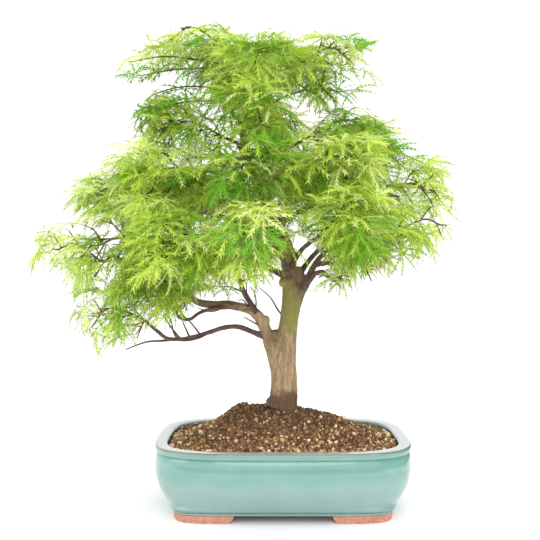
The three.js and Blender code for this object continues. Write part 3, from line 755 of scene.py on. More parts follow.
def make_pot(settings):
    """The glazed body: one ring drawn up the outside, over the rim and down inside."""
    angles = even_angles(settings.sides)
    bm = bmesh.new()
    layers = [bm.verts.layers.float.new(name) for name in ("pooled", "thin", "broken", "pale")]
    loft(bm, settings.sides, len(POT_ROWS), lambda row, k: pot_corner(angles[k], row))
    row_layer = bm.verts.layers.int["row"]
    for vert in bm.verts:
        values = POT_ROWS[vert[row_layer]]
        # The pale layer is a painted reflection of the floor on the outside below the belly.
        wave = FLOOR_REFLECTION_WAVE * noise.noise(Vector((vert.co.x, vert.co.y, 0)) / 0.04)
        pale = smoothstep(FLOOR_REFLECTION_HEIGHT + 0.004, FLOOR_REFLECTION_HEIGHT - 0.004, vert.co.z + wave)
        for layer, value in zip(layers, (*values[2:], pale if values[0] < 0.02 else 0)):
            vert[layer] = value
    mesh = mesh_from(bm, "pot_glazed_body")
    piece = show(mesh, [glaze_material(settings)], ["pot_body"])
    smooth = piece.modifiers.new("Smooth", "SUBSURF")
    smooth.levels = smooth.render_levels = 1
    return piece


FOOT_INSET = 0.023
FOOT_TAPER = 0.0015
FOOT_SLOPE = 0.005
# Edges that turn more than this, in radians, are rounded.
SHARP_TURN = 0.6


def make_foot(node, settings, material):
    """One foot: the base's outline drawn down, and cut off along two sloping planes."""
    low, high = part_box(node)
    angles = even_angles(settings.sides)

    def place(row, k):
        spot = outline(angles[k], FOOT_INSET + FOOT_TAPER * row, 1.0, BASE_SQUARENESS)
        return Vector((*spot, UNDERSIDE * (1 - row)))

    bm = bmesh.new()
    loft(bm, settings.sides, 2, place)
    for axis in (0, 1):
        side = 1 if low[axis] + high[axis] > 2 * MIDDLE[axis] else -1
        point, away = UNDERSIDE * UP, FOOT_SLOPE / UNDERSIDE * UP
        point[axis] = low[axis] if side > 0 else high[axis]
        away[axis] = side
        geometry = [*bm.verts, *bm.edges, *bm.faces]
        cut = bmesh.ops.bisect_plane(
            bm, geom=geometry, plane_co=point, plane_no=away.normalized(), clear_inner=True, dist=1e-7
        )
        bmesh.ops.contextual_create(bm, geom=edges_in(cut["geom_cut"]))
    sharp = [edge for edge in bm.edges if len(edge.link_faces) == 2 and edge.calc_face_angle(0) > SHARP_TURN]
    bmesh.ops.bevel(
        bm, geom=sharp, offset=settings.foot_bevel, segments=3, profile=0.5, affect="EDGES", material=-1
    )
    mesh = mesh_from(bm, "clay_foot_" + node.removeprefix("pot_foot_"))
    return show(mesh, [material], [node])


# Soil

# The soil drawn up round the trunk's foot, most on the left.
COLLAR_RISE = 0.005
COLLAR_X = -0.013
COLLAR_SPREAD = 0.013
# The soil's unevenness: height and size of its lumps.
SOIL_LUMPS = [(0.0016, 0.016), (0.0008, 0.005)]
SOIL_SUNK = 0.0006


def mound_height(x, y):
    dx = x - POT_X
    away = math.hypot(dx / MOUND_HALF_X, y / MOUND_HALF_Y)
    mound = MOUND_RISE * max(0.0, 1 - away**MOUND_POWER)
    spread = (dx - LUMP["x"]) ** 2 + (y - LUMP["y"]) ** 2
    drawn_up = COLLAR_RISE * math.exp(-((dx - COLLAR_X) ** 2 + y * y) / (2 * COLLAR_SPREAD**2))
    return SOIL_EDGE + mound + drawn_up + LUMP["rise"] * math.exp(-spread / (2 * LUMP["spread"] ** 2))


def soil_height(x, y):
    """The mound with its unevenness."""
    uneven = sum(height * noise.noise(Vector((x, y, 0.0)) / size) for height, size in SOIL_LUMPS)
    return mound_height(x, y) + uneven - SOIL_SUNK


SOIL_RINGS = 70
SOIL_SIDES = 180
SOIL_DEPTH = 0.012
SOIL_GAP = 0.0004
SOIL_LEAST = 0.004


def make_soil(settings):
    """The earth under the crumbs, from the pot's wall to the trunk."""
    angles = even_angles(SOIL_SIDES)

    def place(row, k):
        share = 1 - max(0, row - 1) / SOIL_RINGS
        x, y = outline(angles[k], POT_INSIDE + SOIL_GAP, max(share, SOIL_LEAST))
        height = SOIL_EDGE - SOIL_DEPTH if row == 0 else soil_height(x, y)
        return Vector((x, y, height))

    bm = bmesh.new()
    loft(bm, SOIL_SIDES, SOIL_RINGS + 2, place)
    mesh = mesh_from(bm, "soil_mound")
    return show(mesh, [grain_material("Dark Earth", settings.earth)], ["soil"])


CRUMB_COLOURS = [
    ("Brown Crumb", (150, 116, 84)),
    ("Dark Crumb", (108, 80, 60)),
    ("Russet Crumb", (156, 112, 80)),
    ("Tan Crumb", (202, 172, 134)),
    ("Mossy Crumb", (126, 116, 80)),
]
# The crumbs are darker within this distance of the trunk, and mossy on the lump.
DARK_NEAR_TRUNK = 0.05
MOSS_SPREAD = 0.017
# Pale crumbs are rare within this distance.
PALE_SPREAD = 0.09
BROWN_CRUMB, DARK_CRUMB, TAN_CRUMB, MOSSY_CRUMB = 0, 1, 3, 4
GRIT_COLOURS = [
    ("Cream Grit", (236, 214, 178)),
    ("Tan Grit", (208, 172, 122)),
    ("Pink Grit", (226, 182, 164)),
    ("Ochre Grit", (196, 150, 84)),
]


# How much of each colour there is, and how strongly grit keeps to the mound's edge.
CRUMB_SHARES = [0.42, 0.22, 0.22, 0.14]
GRIT_SHARES = [0.44, 0.32, 0.14, 0.1]
GRIT_BIAS = 0.94


def stone_forms(count, random):
    """Lumpy little stones, each an icosphere of 20 faces with its corners moved."""
    bm = bmesh.new()
    bmesh.ops.create_icosphere(bm, subdivisions=1, radius=1.0)
    corners = np.array([vert.co for vert in bm.verts])
    faces = np.array([[vert.index for vert in face.verts] for face in bm.faces])
    bm.free()
    return [corners * random.uniform(0.72, 1.22, (len(corners), 1)) for _ in range(count)], faces


def turns(random, count):
    """Random rotations as matrices."""
    return np.array([Quaternion(row).normalized().to_matrix() for row in random.normal(size=(count, 4))])


# Stones are strewn this far inside the pot's wall and outside the trunk's middle.
STREWN_INSET = 0.0022
STREWN_CLEARANCE = 0.015
STONE_FORMS = 8
# How much the stones' sizes vary, and how high their middles stand, as a share of their size.
SIZE_VARIES = 0.34
STONE_STANDS = 0.25


def scattered(name, count, size, weights, random, edge_bias=0.0):
    """Stones strewn over the mound, as a joined mesh. Weights deal out the tones."""
    forms, faces = stone_forms(STONE_FORMS, random)
    places = []
    while len(places) < count:
        angle = random.uniform(0, 2 * math.pi)
        share = math.sqrt(random.uniform(0, 1))
        if random.uniform() < edge_bias * (1 - share**3):
            continue
        x, y = outline(angle, POT_INSIDE + STREWN_INSET, share)
        if math.hypot(x - POT_X + 0.001, y) >= STREWN_CLEARANCE:
            places.append((x, y, soil_height(x, y)))
    places = np.array(places)
    sizes = size * random.lognormal(0, SIZE_VARIES, (count, 1)) * random.uniform(0.7, 1.15, (count, 3))
    sizes = np.minimum(sizes, 2.0 * size)
    spins = turns(random, count)
    picks = random.integers(0, len(forms), count)
    shapes = np.einsum("nij,nkj->nki", spins, np.stack(forms)[picks] * sizes[:, None])
    places[:, 2] += STONE_STANDS * sizes.mean(axis=1)
    corners = (shapes + places[:, None]).reshape(-1, 3)
    triangles = copied(faces, count, shapes.shape[1])
    tones = random.choice(len(weights), count, p=weights)
    if name == "soil_crumbs":
        from_trunk = np.hypot(places[:, 0] - POT_X, places[:, 1])
        from_lump = np.hypot(places[:, 0] - POT_X - LUMP["x"], places[:, 1] - LUMP["y"])
        chance = random.uniform(0, 1, count)
        tones[(tones == TAN_CRUMB) & (chance < np.exp(-((from_trunk / PALE_SPREAD) ** 2)))] = BROWN_CRUMB
        tones[chance < 0.8 * np.exp(-((from_trunk / DARK_NEAR_TRUNK) ** 2))] = DARK_CRUMB
        tones[chance > 1 - 0.6 * np.exp(-((from_lump / MOSS_SPREAD) ** 2))] = MOSSY_CRUMB
    return mesh_of_triangles(name, corners, triangles, np.repeat(tones, len(faces)))


# Limbs


LENGTH_STEPS = 24


class Limb:
    """A smooth path through points, with a radius at each share of its length."""

    def __init__(self, points, radii):
        self.points, self.radii = points, radii

    @staticmethod
    def stretch(row, share):
        """The number of the stretch of a row in which a share falls, and how far along it that is."""
        place = clamp(share) * (len(row) - 1)
        i = min(int(place), len(row) - 2)
        return i, place - i

    def at(self, share):
        points = self.points
        i, w = self.stretch(points, share)
        before = points[i - 1] if i > 0 else 2 * points[0] - points[1]
        after = points[i + 2] if i + 2 < len(points) else 2 * points[-1] - points[-2]
        here, there = points[i], points[i + 1]
        leave, arrive = 0.5 * (there - before), 0.5 * (after - here)
        square = -3 * here + 3 * there - 2 * leave - arrive
        cube = 2 * here - 2 * there + leave + arrive
        return here + w * (leave + w * (square + w * cube))

    def ahead(self, share):
        low, high = max(share - 1e-4, 0.0), min(share + 1e-4, 1.0)
        return (self.at(high) - self.at(low)).normalized()

    def radius(self, share):
        i, w = self.stretch(self.radii, share)
        return self.radii[i] + (self.radii[i + 1] - self.radii[i]) * w

    def path(self, steps):
        return [self.at(i / steps) for i in range(steps + 1)]

    def girths(self, steps):
        return [self.radius(i / steps) for i in range(steps + 1)]

    def length(self):
        points = self.path(LENGTH_STEPS)
        return sum((b - a).length for a, b in zip(points, points[1:]))


class Pad:
    """One pad of foliage: its space, and the way it grows."""

    def __init__(self, name, source, feeder, along=None):
        *sizes, rise, self.lift = (*PADS[name], None, 0)[:6]
        *centre, self.reach = metres(*sizes)
        self.name, self.feeder, self.along = name, feeder, along
        self.centre = Vector(centre) + MIDDLE
        away = self.centre - source
        self.heading = Vector((away.x, away.y, 0)).normalized()
        self.root = self.centre - ROOT_SHARE * self.reach * self.heading
        self.root.z -= ROOT_DROP * self.reach
        self.stem_rise = STEM_RISE if rise is None else rise
        self.end_rise = rise or 0.0

    def depth(self, points):
        """How far points lie out in the space for the pad's leaves: 1 at its rim."""
        side, above, below = LEAF_REACH
        apart = (np.asarray(points) - np.array(self.centre)) / self.reach
        apart[..., :2] /= side
        apart[..., 2] /= np.where(apart[..., 2] > 0, above + self.end_rise, below)
        return np.linalg.norm(apart, axis=-1)


@functools.lru_cache
def plant():
    """The limbs by name, and the pads in the order in which the source grows them."""
    centre_points = [Vector((POT_X + x, y, z)) for z, x, y, _ in TRUNK_ROWS]
    limbs = {"trunk": Limb(centre_points, [row[3] for row in TRUNK_ROWS])}
    pads = []
    for name, source, along, root, tip, pad_name, *through in LIMBS:
        start = limbs[source].at(along)
        arched = len(through) == 1
        points = [] if arched else [Vector(metres(*point)) + MIDDLE for point in through]
        pad = Pad(pad_name, start if arched else points[-1], None)
        if arched:
            points = [start.lerp(pad.root, 0.5)]
            points[0].z += through[0] / 1000
        limbs[name] = Limb([start, *points, pad.root], metres(root, tip))
        pad.feeder = limbs[name]
        pads.append(pad)
    for name, along in TRUNK_PADS:
        trunk = limbs["trunk"]
        pads.append(Pad(name, trunk.at(along), trunk, along))
    return limbs, pads


def sections(limb, rows):
    """Cross-sections along a limb: each keeps the last one's direction as nearly as it can."""
    made = []
    across = Vector((0.6, 0.8, 0.0))
    for row in range(rows):
        share = row / (rows - 1)
        tangent = limb.ahead(share)
        across = (across - across.dot(tangent) * tangent).normalized()
        made.append((share, limb.at(share), across, tangent.cross(across)))
    return made


def flare(height, angle):
    """The root flare's ridges, as a share added to the radius."""
    fade = max(0.0, 1 - (height - SEAT) / FLARE_HEIGHT)
    return 1 + FLARE_DEPTH * fade * fade * math.cos(FLARE_RIDGES * angle + FLARE_TURN)


def sweep(bm, limb, sides, spacing, girth):
    """Draws a limb as a tube. girth(share, point, angle) gives its radius."""
    rows = max(6, round(limb.length() / spacing) + 1)
    made = sections(limb, rows)

    def place(row, k):
        share, centre, across, other = made[row]
        angle = 2 * math.pi * k / sides
        radius = girth(share, centre, angle)
        return centre + radius * (math.cos(angle) * across + math.sin(angle) * other)

    loft(bm, sides, rows, place)


# Knots and old cuts on the trunk: place, radii across and along.
KNOTS = [
    ((20.5, -4, 277), 6.2, 11.5), ((15, -9, 262), 5, 8), ((0, -8, 268), 4.8, 6), ((-20, -3, 222), 5, 6.2),
    ((-13, 0, 196), 6.6, 10), ((-9, 0, 203), 5.8, 8.5), ((14, 6, 300), 4.6, 8), ((-45, 0, 430), 4, 5.5),
    ((-38, -1, 468), 3.4, 5), ((6, 12, 240), 6, 8),
]
# The limbs fused with the trunk, and how much each widens at its root.
FUSED_LIMBS = {"limb_left": 0.55, "limb_right": 0.9}
# The trunk's lowest ring, within a margin of its seat, is sunk into the soil.
TRUNK_SUNK = 0.005
SEAT_MARGIN = 0.0008
TRUNK_SIDES = 40
LIMB_SIDES = 20
FUSED_SPACING = 0.004


def make_trunk(settings):
    """Trunk and main limbs fused on a grid, with knots and fissured bark."""
    limbs = plant()[0]
    bm = bmesh.new()
    trunk = limbs["trunk"]

    def swell(share, point, angle):
        return trunk.radius(share) * flare(point.z, angle)

    sweep(bm, trunk, TRUNK_SIDES, FUSED_SPACING, swell)
    for vert in bm.verts:
        if vert.co.z < SEAT + SEAT_MARGIN:
            vert.co.z -= TRUNK_SUNK
    for name, collar in FUSED_LIMBS.items():

        def girth(share, point, angle):
            return limbs[name].radius(share) * (1 + collar * math.exp(-share * 9))

        sweep(bm, limbs[name], LIMB_SIDES, FUSED_SPACING, girth)
    for place, *radii in KNOTS:
        across, along = metres(*radii)
        spot = Matrix.Translation(Vector(metres(*place)) + MIDDLE)
        spot @= Matrix.Diagonal((across, across, along, 1))
        bmesh.ops.create_icosphere(bm, subdivisions=2, radius=1.0, matrix=spot)
    rough = bpy.data.objects.new("rough_trunk", mesh_from(bm, "rough_trunk"))
    bpy.context.scene.collection.objects.link(rough)
    fuse = rough.modifiers.new("Fuse", "REMESH")
    fuse.mode, fuse.voxel_size = "VOXEL", settings.voxel
    graph = bpy.context.evaluated_depsgraph_get()
    fused = bpy.data.meshes.new_from_object(rough.evaluated_get(graph))
    bpy.data.objects.remove(rough)
    mesh = relieved(fused, "trunk_bark", settings)
    return show(mesh, [bark_material(settings)], ["trunk", *FUSED_LIMBS])


# Where the bark's roughness and colour change: where each change starts and ends, as heights, and
# as distances to the right of the pot's middle.
SMOOTH_FROM = (0.200, 0.222)
ROUGH_FROM = (0.245, 0.27)
FINE_FROM = (0.30, 0.33)
UNSTAINED_FROM = (0.132, 0.142)
GREEN_FROM = (0.199, 0.219)
RUSSET_FROM = (0.39, 0.44)
LIMB_FROM = (0.19, 0.205)
LIMB_TO = (0.33, 0.31)
LIMB_LEFT_OF = (-0.006, -0.014)
OUTER_LEFT_OF = (-0.032, -0.062)
RIGHT_LIMB_FROM = (0.24, 0.25)
RIGHT_OF = (0.020, 0.028)
# Old cuts: how far to the right, height, half width, half height, and how brown they are.
CUTS = [(0.019, 0.272, 0.008, 0.020, 0.9), (-0.012, 0.208, 0.008, 0.010, 0.6)]


def fissure(point):
    """Bark depth at a point, from 0 on a plate to 1 in a crack, and how rough the bark is there."""
    bend = 0.8 * noise.noise(point / 0.010)
    ridge = 1 - abs(2 * noise.noise(drawn_out(point, 0.0027, 0.021) + Vector((bend, bend, 0))))
    crack = smoothstep(0.62, 1.0, ridge)
    rough = 1 - 0.75 * smoothstep(*SMOOTH_FROM, point.z) + 0.5 * smoothstep(*ROUGH_FROM, point.z)
    return crack, rough - 0.45 * smoothstep(*FINE_FROM, point.z)


def bark_tint(point, settings):
    """The bark's colour by place: stained by the soil at the foot, tan to the fork, then olive on
    the trunk, rough and brown at the old cuts, and russet towards the top."""
    x, z = point.x - POT_X, point.z
    wander = 0.006 * noise.noise(point / 0.009) + 0.003 * noise.noise(point / 0.003)
    names = ("stained", "tan", "olive", "russet", "bough")
    stained, tan, olive, russet, bough = (Vector(getattr(settings, name)) for name in names)
    streak = smoothstep(-0.25, 0.45, noise.noise(drawn_out(point, 0.0042, 0.03)))
    tan = tan.lerp(stained, 0.38 * streak)
    colour = stained.lerp(tan, smoothstep(*UNSTAINED_FROM, z + 0.7 * wander))
    limb = smoothstep(*LIMB_LEFT_OF, x + wander) * smoothstep(*LIMB_FROM, z) * smoothstep(*LIMB_TO, z)
    green = smoothstep(*GREEN_FROM, z + 1.5 * wander) * (1 - limb)
    patch = smoothstep(0.1, 0.5, noise.noise(point / 0.011))
    colour = colour.lerp(olive.lerp(tan, 0.35 * patch), green)
    colour = colour.lerp(bough, 0.85 * smoothstep(*OUTER_LEFT_OF, x + wander) * limb)
    brown = 0.9 * smoothstep(*RIGHT_OF, x + wander) * smoothstep(*RIGHT_LIMB_FROM, z)
    for right, height, wide, high, share in CUTS:
        brown += share * math.exp(-(((x - right) / wide) ** 2) - ((z - height) / high) ** 2)
    colour = colour.lerp(bough, clamp(brown))
    return colour.lerp(russet, smoothstep(*RUSSET_FROM, z + wander))


BARK_SMOOTHINGS = 4


def relieved(mesh, name, settings):
    """The fused wood smoothed a little, then given its fissures, swellings and colours."""
    bm = bmesh.new()
    bm.from_mesh(mesh)
    bpy.data.meshes.remove(mesh)
    every_way = {"use_axis_" + axis: True for axis in "xyz"}
    for _ in range(BARK_SMOOTHINGS):
        bmesh.ops.smooth_vert(bm, verts=bm.verts, factor=0.5, **every_way)
    bm.normal_update()
    crevice = bm.verts.layers.float.new("crevice")
    tint = bm.verts.layers.float_color.new("tint")
    moves = []
    for vert in bm.verts:
        point = vert.co
        crack, rough = fissure(point)
        swell = 0.0009 * noise.noise(point / 0.018) + 0.0004 * rough * noise.noise(point / 0.005)
        flakes = 0.00028 * rough * noise.noise(drawn_out(point, 0.0016, 0.005))
        vert[crevice] = clamp(0.34 * crack * rough + 0.16 * clamp(-flakes / 0.0002))
        vert[tint] = (*bark_tint(point, settings), 1.0)
        moves.append(vert.normal * (swell + flakes - settings.relief * crack * rough))
    for vert, move in zip(bm.verts, moves):
        vert.co += move
    return mesh_from(bm, name)


BOUGH_SIDES = 12
BOUGH_SPACING = 0.0028
# How far apart a bough's nodes and its bends are, and how far it sways.
NODE_SPACING = 0.021
BEND_SPACING = 0.018
BEND_SWAY = 0.0022
# A bough is thicker at its root by a share that fades over a length, and at its nodes.
COLLAR_SHARE = 0.7
COLLAR_FADES = 0.007
NODE_SHARE = 0.13


def make_boughs(settings):
    """Every other bough, with a collar at its root, nodes along it and slight bends."""
    limbs = plant()[0]
    bm = bmesh.new()
    for number, row in enumerate(LIMBS):
        if row[0] in FUSED_LIMBS:
            continue
        limb = limbs[row[0]]
        knots = limb.length() / NODE_SPACING

        def girth(share, point, angle):
            node = math.exp(-(((share * knots) % 1 - 0.5) ** 2) / 0.006)
            collar = 1 + COLLAR_SHARE * math.exp(-share * limb.length() / COLLAR_FADES)
            bumps = 1 + 0.14 * noise.noise(point / 0.006 + Vector((angle, number, 0)))
            return limb.radius(share) * collar * bumps * (1 + NODE_SHARE * node)

        sweep(bm, bent(limb, number), BOUGH_SIDES, BOUGH_SPACING, girth)
    crevice = bm.verts.layers.float.new("crevice")
    for vert in bm.verts:
        vert[crevice] = smoothstep(0.1, 0.6, noise.noise(vert.co / 0.0035)) * 0.5
    mesh = mesh_from(bm, "boughs")
    nodes = [node for node in BOUGH_NODES if node not in FUSED_LIMBS]
    paint = spotted(settings.bough, 0.55, 130.0)
    grain = (1100.0, 0.6, 0.0004)
    material = surface("Bough Bark", paint, roughness=0.7, grain=grain, crevice=srgb(48, 36, 28))
    return show(mesh, [material], nodes)


def bent(limb, number):
    """A limb whose path wanders a little between its ends."""
    steps = max(4, round(limb.length() / BEND_SPACING))
    points = limb.path(steps)
    for i in range(steps + 1):
        wander = [noise.noise(Vector((number * 3.1, i * 1.7, 0.5 + 9.3 * axis))) for axis in range(3)]
        points[i] += BEND_SWAY * math.sin(math.pi * i / steps) * Vector(wander)
    return Limb(points, limb.girths(steps))


# Twigs and leaves


def turned(direction, sideways, upward):
    """A level direction turned to the side, then lifted, in degrees."""
    flat = Vector((direction.x, direction.y, 0)).normalized()
    flat.rotate(Matrix.Rotation(math.radians(sideways), 3, "Z"))
    rise = math.radians(upward)
    return math.cos(rise) * flat + math.sin(rise) * UP


def stem_of(pad):
    """The stem of a pad: from its feeder's tip, or from inside the trunk, over the pad's middle."""
    middle = pad.centre + pad.stem_rise * pad.reach * UP
    end = pad.centre + STEM_REACH * pad.reach * pad.heading + pad.end_rise * pad.reach * UP
    if pad.along is not None and pad.along < 1:
        points = [pad.feeder.at(pad.along), pad.root, middle, end]
        return Limb(points, [TRUNK_STEM_RADIUS, STEM_TIP])
    tip, ahead = pad.feeder.at(1), pad.feeder.ahead(1)
    points = [tip - STEM_START * ahead, tip + STEM_LEAD * ahead, middle, end]
    return Limb(points, [min(STEM_RADIUS, pad.feeder.radius(1)), STEM_TIP])


def twig_plan():
    """A pad's twigs from the tip back: share of the stem, turn to the side, turn upwards."""
    pairs = []
    for i, share in enumerate(TWIG_NODES):
        for side in (-1, 1):
            at = share + side * PAIR_STAGGER
            pairs.append((at, 0, side * TWIG_ANGLE) if i % 2 else (at, side * TWIG_ANGLE, 0))
    return [(1.0, 0, 0), *reversed(pairs)]


# Leafless side twigs: the limb, how far along it, the radius at the root, and three steps from there.
SIDE_TWIGS = [
    ("bough_low_left", 0.62, 1.3, (-3, -4, 8), (-6, -8, 16), (-9, -10, 25)),
    ("bough_low_left", 0.72, 1.7, (-16, 4, -2), (-36, 8, -4), (-60, 8, -13)),
    ("bough_low_left", 0.48, 1.2, (-12, -6, -6), (-26, -10, -9), (-42, -14, -8)),
    ("limb_left", 0.34, 1.4, (-6, -8, 13), (-14, -14, 30), (-12, -18, 50)),
    ("limb_left", 0.62, 1.3, (-10, 6, -6), (-22, 10, -9), (-36, 12, -5)),
    ("bough_low_left", 0.68, 1.2, (-12, -4, 16), (-19, -6, 27), (-33, -8, 35)),
    ("trunk", 0.30, 1.5, (-24, -4, 14), (-39, -8, 22), (-51, -10, 29)),
    ("trunk", 0.35, 1.3, (-12, 8, 14), (-22, 14, 30), (-36, 20, 42)),
    ("limb_right", 0.3, 1.2, (10, 4, 4), (22, 8, 2), (34, 10, -5)),
]
# Side twigs that carry a few leaves: the pad they are dealt to, then as above.
LEAFY_TWIGS = [
    ("low_left_front", "limb_left", 0.36, 1.2, (-4, -10, 4), (-9, -20, 8), (-16, -30, 8)),
    ("low_left_front", "limb_left", 0.46, 1.2, (-2, -10, 6), (-6, -20, 12), (-12, -28, 12)),
    ("low_left_front", "limb_left", 0.58, 1.2, (-4, -12, 3), (-10, -22, 4), (-18, -32, 2)),
    ("low_left_front", "limb_left", 0.40, 1.2, (2, 10, 10), (0, 20, 22), (-6, 30, 30)),
    ("low_left_front", "bough_left_up", 0.30, 1.2, (-8, 4, 4), (-18, 6, 8), (-30, 6, 8)),
    ("low_left_front", "bough_left_up", 0.45, 1.2, (8, -4, 4), (18, -6, 8), (26, -10, 8)),
    ("low_left_bottom", "bough_low_left", 0.70, 1.2, (-4, -10, 10), (-6, -18, 24), (-14, -26, 34)),
    ("low_left_bottom", "bough_low_left", 0.55, 1.2, (-6, -10, 10), (-16, -18, 22), (-30, -24, 26)),
    ("right_bottom", "bough_right_under", 0.60, 1.2, (2, -10, -2), (0, -20, -3), (-6, -28, -6)),
    ("top_left", "bough_top_left", 0.80, 1.4, (-50, -10, 6), (-90, -15, 8), (-130, -20, 0)),
    ("top_left", "bough_top_left", 0.72, 1.4, (-45, -12, -2), (-80, -18, -6), (-114, -24, -14)),
    ("top_left", "bough_top_left", 0.20, 1.4, (-42, -12, 6), (-80, -18, 5), (-112, -22, -6)),
    ("top_left", "bough_top_left", 0.10, 1.4, (-40, -10, -2), (-75, -14, -4), (-104, -18, -12)),
    ("top_right", "bough_top_right", 0.20, 1.4, (35, -10, 18), (72, -14, 28), (106, -18, 24)),
    ("upper_right", "bough_upper_right", 0.90, 1.4, (35, -10, -4), (65, -15, -10), (92, -20, -16)),
    ("mid_right_tip", "bough_mid_right", 0.60, 1.4, (26, -8, 22), (54, -12, 38), (82, -16, 48)),
    ("mid_right_tip", "bough_mid_right", 0.42, 1.4, (22, -8, 28), (45, -12, 48), (68, -16, 62)),
]
LEAFY_NODES = [0.36, 0.52, 0.68, 0.84, 1.0]
LEAFY_REACH = 0.055
LEAFY_SEED = 9000


def side_twig(name, share, radius, *steps):
    """A twig as a smooth path from its limb."""
    root = plant()[0][name].at(share)
    return Limb([root, *(root + Vector(metres(*step)) for step in steps)], metres(radius, 0.4 * radius))


def side_twigs():
    """Every side twig, bare or leafy."""
    return [side_twig(*row) for row in (*SIDE_TWIGS, *(row[1:] for row in LEAFY_TWIGS))]


def grow_side_leaves(pads, growth):
    """Pairs of leaves along the outer part of the leafy side twigs, and one more at each end."""
    named = {pad.name: pad for pad in pads}
    for number, (pad_name, *row) in enumerate(LEAFY_TWIGS):
        random = seeded(LEAFY_SEED + SEED_STEP * number)
        twig = side_twig(*row)
        spray = copy.copy(named[pad_name])
        tone = spray_tone_and_light(twig.at(1), random)
        for share in LEAFY_NODES:
            spray.centre, spray.reach = twig.at(share), LEAFY_REACH
            for side in (-1, 0, 1) if share == 1 else (-1, 1):
                way = turned(twig.ahead(share), side * (STALK_ANGLE + JITTER * random()), STALK_RISE)
                grow_leaf(spray, twig.at(share), way, random, growth, tone)


class Growth:
    """The plant's size of leaf, its wood, and all that grows on it, with the leaves of each pad."""

    def __init__(self, lobe, stalk):
        self.lobe, self.stalk, self.wood = lobe, stalk, limb_points()
        self.stems, self.twigs, self.spurs, self.stalks = [], [], [], []
        self.leaves = {pad: [] for pad in PADS}


def strayed(size, random):
    """A number up to a size either side of 0."""
    return size * (2 * random() - 1)


def curved(start, way, length, sag, side, points):
    """A short shoot: it leaves along its way and bends down by its sag and to one side."""
    across = way.cross(UP)
    across = across.normalized() if across.length > 1e-6 else Vector((1, 0, 0))
    path = []
    for i in range(points):
        share = i / (points - 1)
        bend = share * share * length
        path.append(start + way * (length * share) - sag * bend * UP + across * (side * bend))
    return path


def limb_points():
    """Points along every limb, with the limb's radius there, for keeping leaves clear of them."""
    points, radii = [], []
    for limb in plant()[0].values():
        steps = max(8, round(limb.length() / WOOD_SPACING))
        points += limb.path(steps)
        radii += limb.girths(steps)
    return np.array(points), np.array(radii)


# How a leaf's room is judged: along each lobe, how much the lobe falls, and how far from the
# leaf's node it is taken to hang when the openings are asked for.
LOBE_SAMPLES = [
    (math.radians(angle), length * part, part) for angle, length, _ in LOBES for part in (0.5, 1.0)
]
LOBE_SAG = 0.34
LEAF_AHEAD = 0.03


def as_seen(points):
    """The photograph's pixels in which points show."""
    points = np.asarray(points)
    eye = np.array([POT_X + CAMERA_SIDE, -CAMERA_AWAY, CAMERA_HEIGHT])
    seen = eye + (points - eye) * (CAMERA_AWAY / (points[..., 1:2] + CAMERA_AWAY))
    across, down = seen[..., 0] - POT_X, CAMERA_HEIGHT - seen[..., 2]
    return PHOTO_MIDDLE[0] + PHOTO_SCALE * across, PHOTO_MIDDLE[1] + PHOTO_SCALE * down


def kept_open(point, random):
    """Whether the photograph's openings call for this leaf to be left out."""
    x, y = as_seen(point)
    for at_x, at_y, half_x, half_y, keep in OPENINGS:
        if math.hypot((x - at_x) / half_x, (y - at_y) / half_y) < 1:
            return random() > keep
    return False


def share_inside_crown(points):
    """The share of points inside the crown's outline, by counting the edges that a ray crosses."""
    x, y = as_seen(points)
    inside = np.zeros(len(x), bool)
    ends = CROWN_OUTLINE[1:] + CROWN_OUTLINE[:1]
    for (x0, y0), (x1, y1) in zip(CROWN_OUTLINE, ends):
        spans = (y0 > y) != (y1 > y)
        fall = y1 - y0 if y1 != y0 else 1e-9
        inside ^= spans & (x < x0 + (y - y0) * (x1 - x0) / fall)
    return inside.mean()


def leaf_fits(pad, palm, axes, length, wood):
    """How much of a leaf is inside the crown, or 0 where it leaves its pad or touches a limb."""
    forward, side, normal = axes
    points = []
    for angle, share, part in LOBE_SAMPLES:
        away = length * share
        fall = LOBE_SAG * away * part
        points.append(palm + away * (math.cos(angle) * forward + math.sin(angle) * side) - fall * normal)
    points = np.array(points)
    rim = 1 + REACH_VARIES * noise.noise(Vector(palm) / REACH_PATCH)
    inside = share_inside_crown(points)
    if pad.depth(points).max() > rim or inside < INSIDE_SHARE:
        return 0.0
    low, high = np.array(CAD_BOX[0]) - BOX_MARGIN, np.array(CAD_BOX[1]) + BOX_MARGIN
    high[2] += TOP_MARGIN - BOX_MARGIN
    if (points < low).any() or (points > high).any():
        return 0.0
    centres, radii = wood
    apart = np.linalg.norm(points[:, None] - centres[None], axis=2)
    return inside if (apart > radii[None] + LIMB_CLEARANCE).all() else 0.0


def grow_leaf(pad, node, way, random, growth, tone):
    """Tries a leaf on a stalk, the largest first and at each tilt, and skips it where none fits."""
    tone = near_tone(tone, random)
    stalk = growth.stalk * (0.7 + 0.6 * random())
    roll = math.radians(strayed(LEAF_ROLL, random))
    spread = 0.88 + 0.24 * random()
    tilt_shift = TILT_MEAN + strayed(TILT_STRAYS, random)
    tilt_shift -= HANG * clamp((pad.centre.z - node[2]) / (0.25 * pad.reach))
    form = int(random() * LEAF_FORMS) % LEAF_FORMS
    if kept_open(node + LEAF_AHEAD * way, random):
        return False
    for scale in LEAF_SCALES:
        length = stalk * (0.5 + 0.5 * scale)
        path = curved(node, way, length, STALK_SAG, strayed(STALK_SWING, random), STALK_POINTS)
        palm = path[-1]
        if pad.depth([palm])[0] > 1:
            continue
        for tilt in LEAF_TILTS:
            forward = turned(way, 0, tilt + tilt_shift + 0.2 * pad.lift)
            side = UP.cross(forward).normalized()
            twist = Matrix.Rotation(roll, 3, forward)
            axes = forward, twist @ side, twist @ forward.cross(side).normalized()
            length = growth.lobe * scale * spread
            inside = leaf_fits(pad, palm, axes, length, growth.wood)
            if 0 < inside < 1 and random() > EDGE_KEEP:
                return False
            if inside:
                growth.stalks.append(path)
                growth.leaves[pad.name].append((palm, axes, length, tone, form))
                return True
    return False


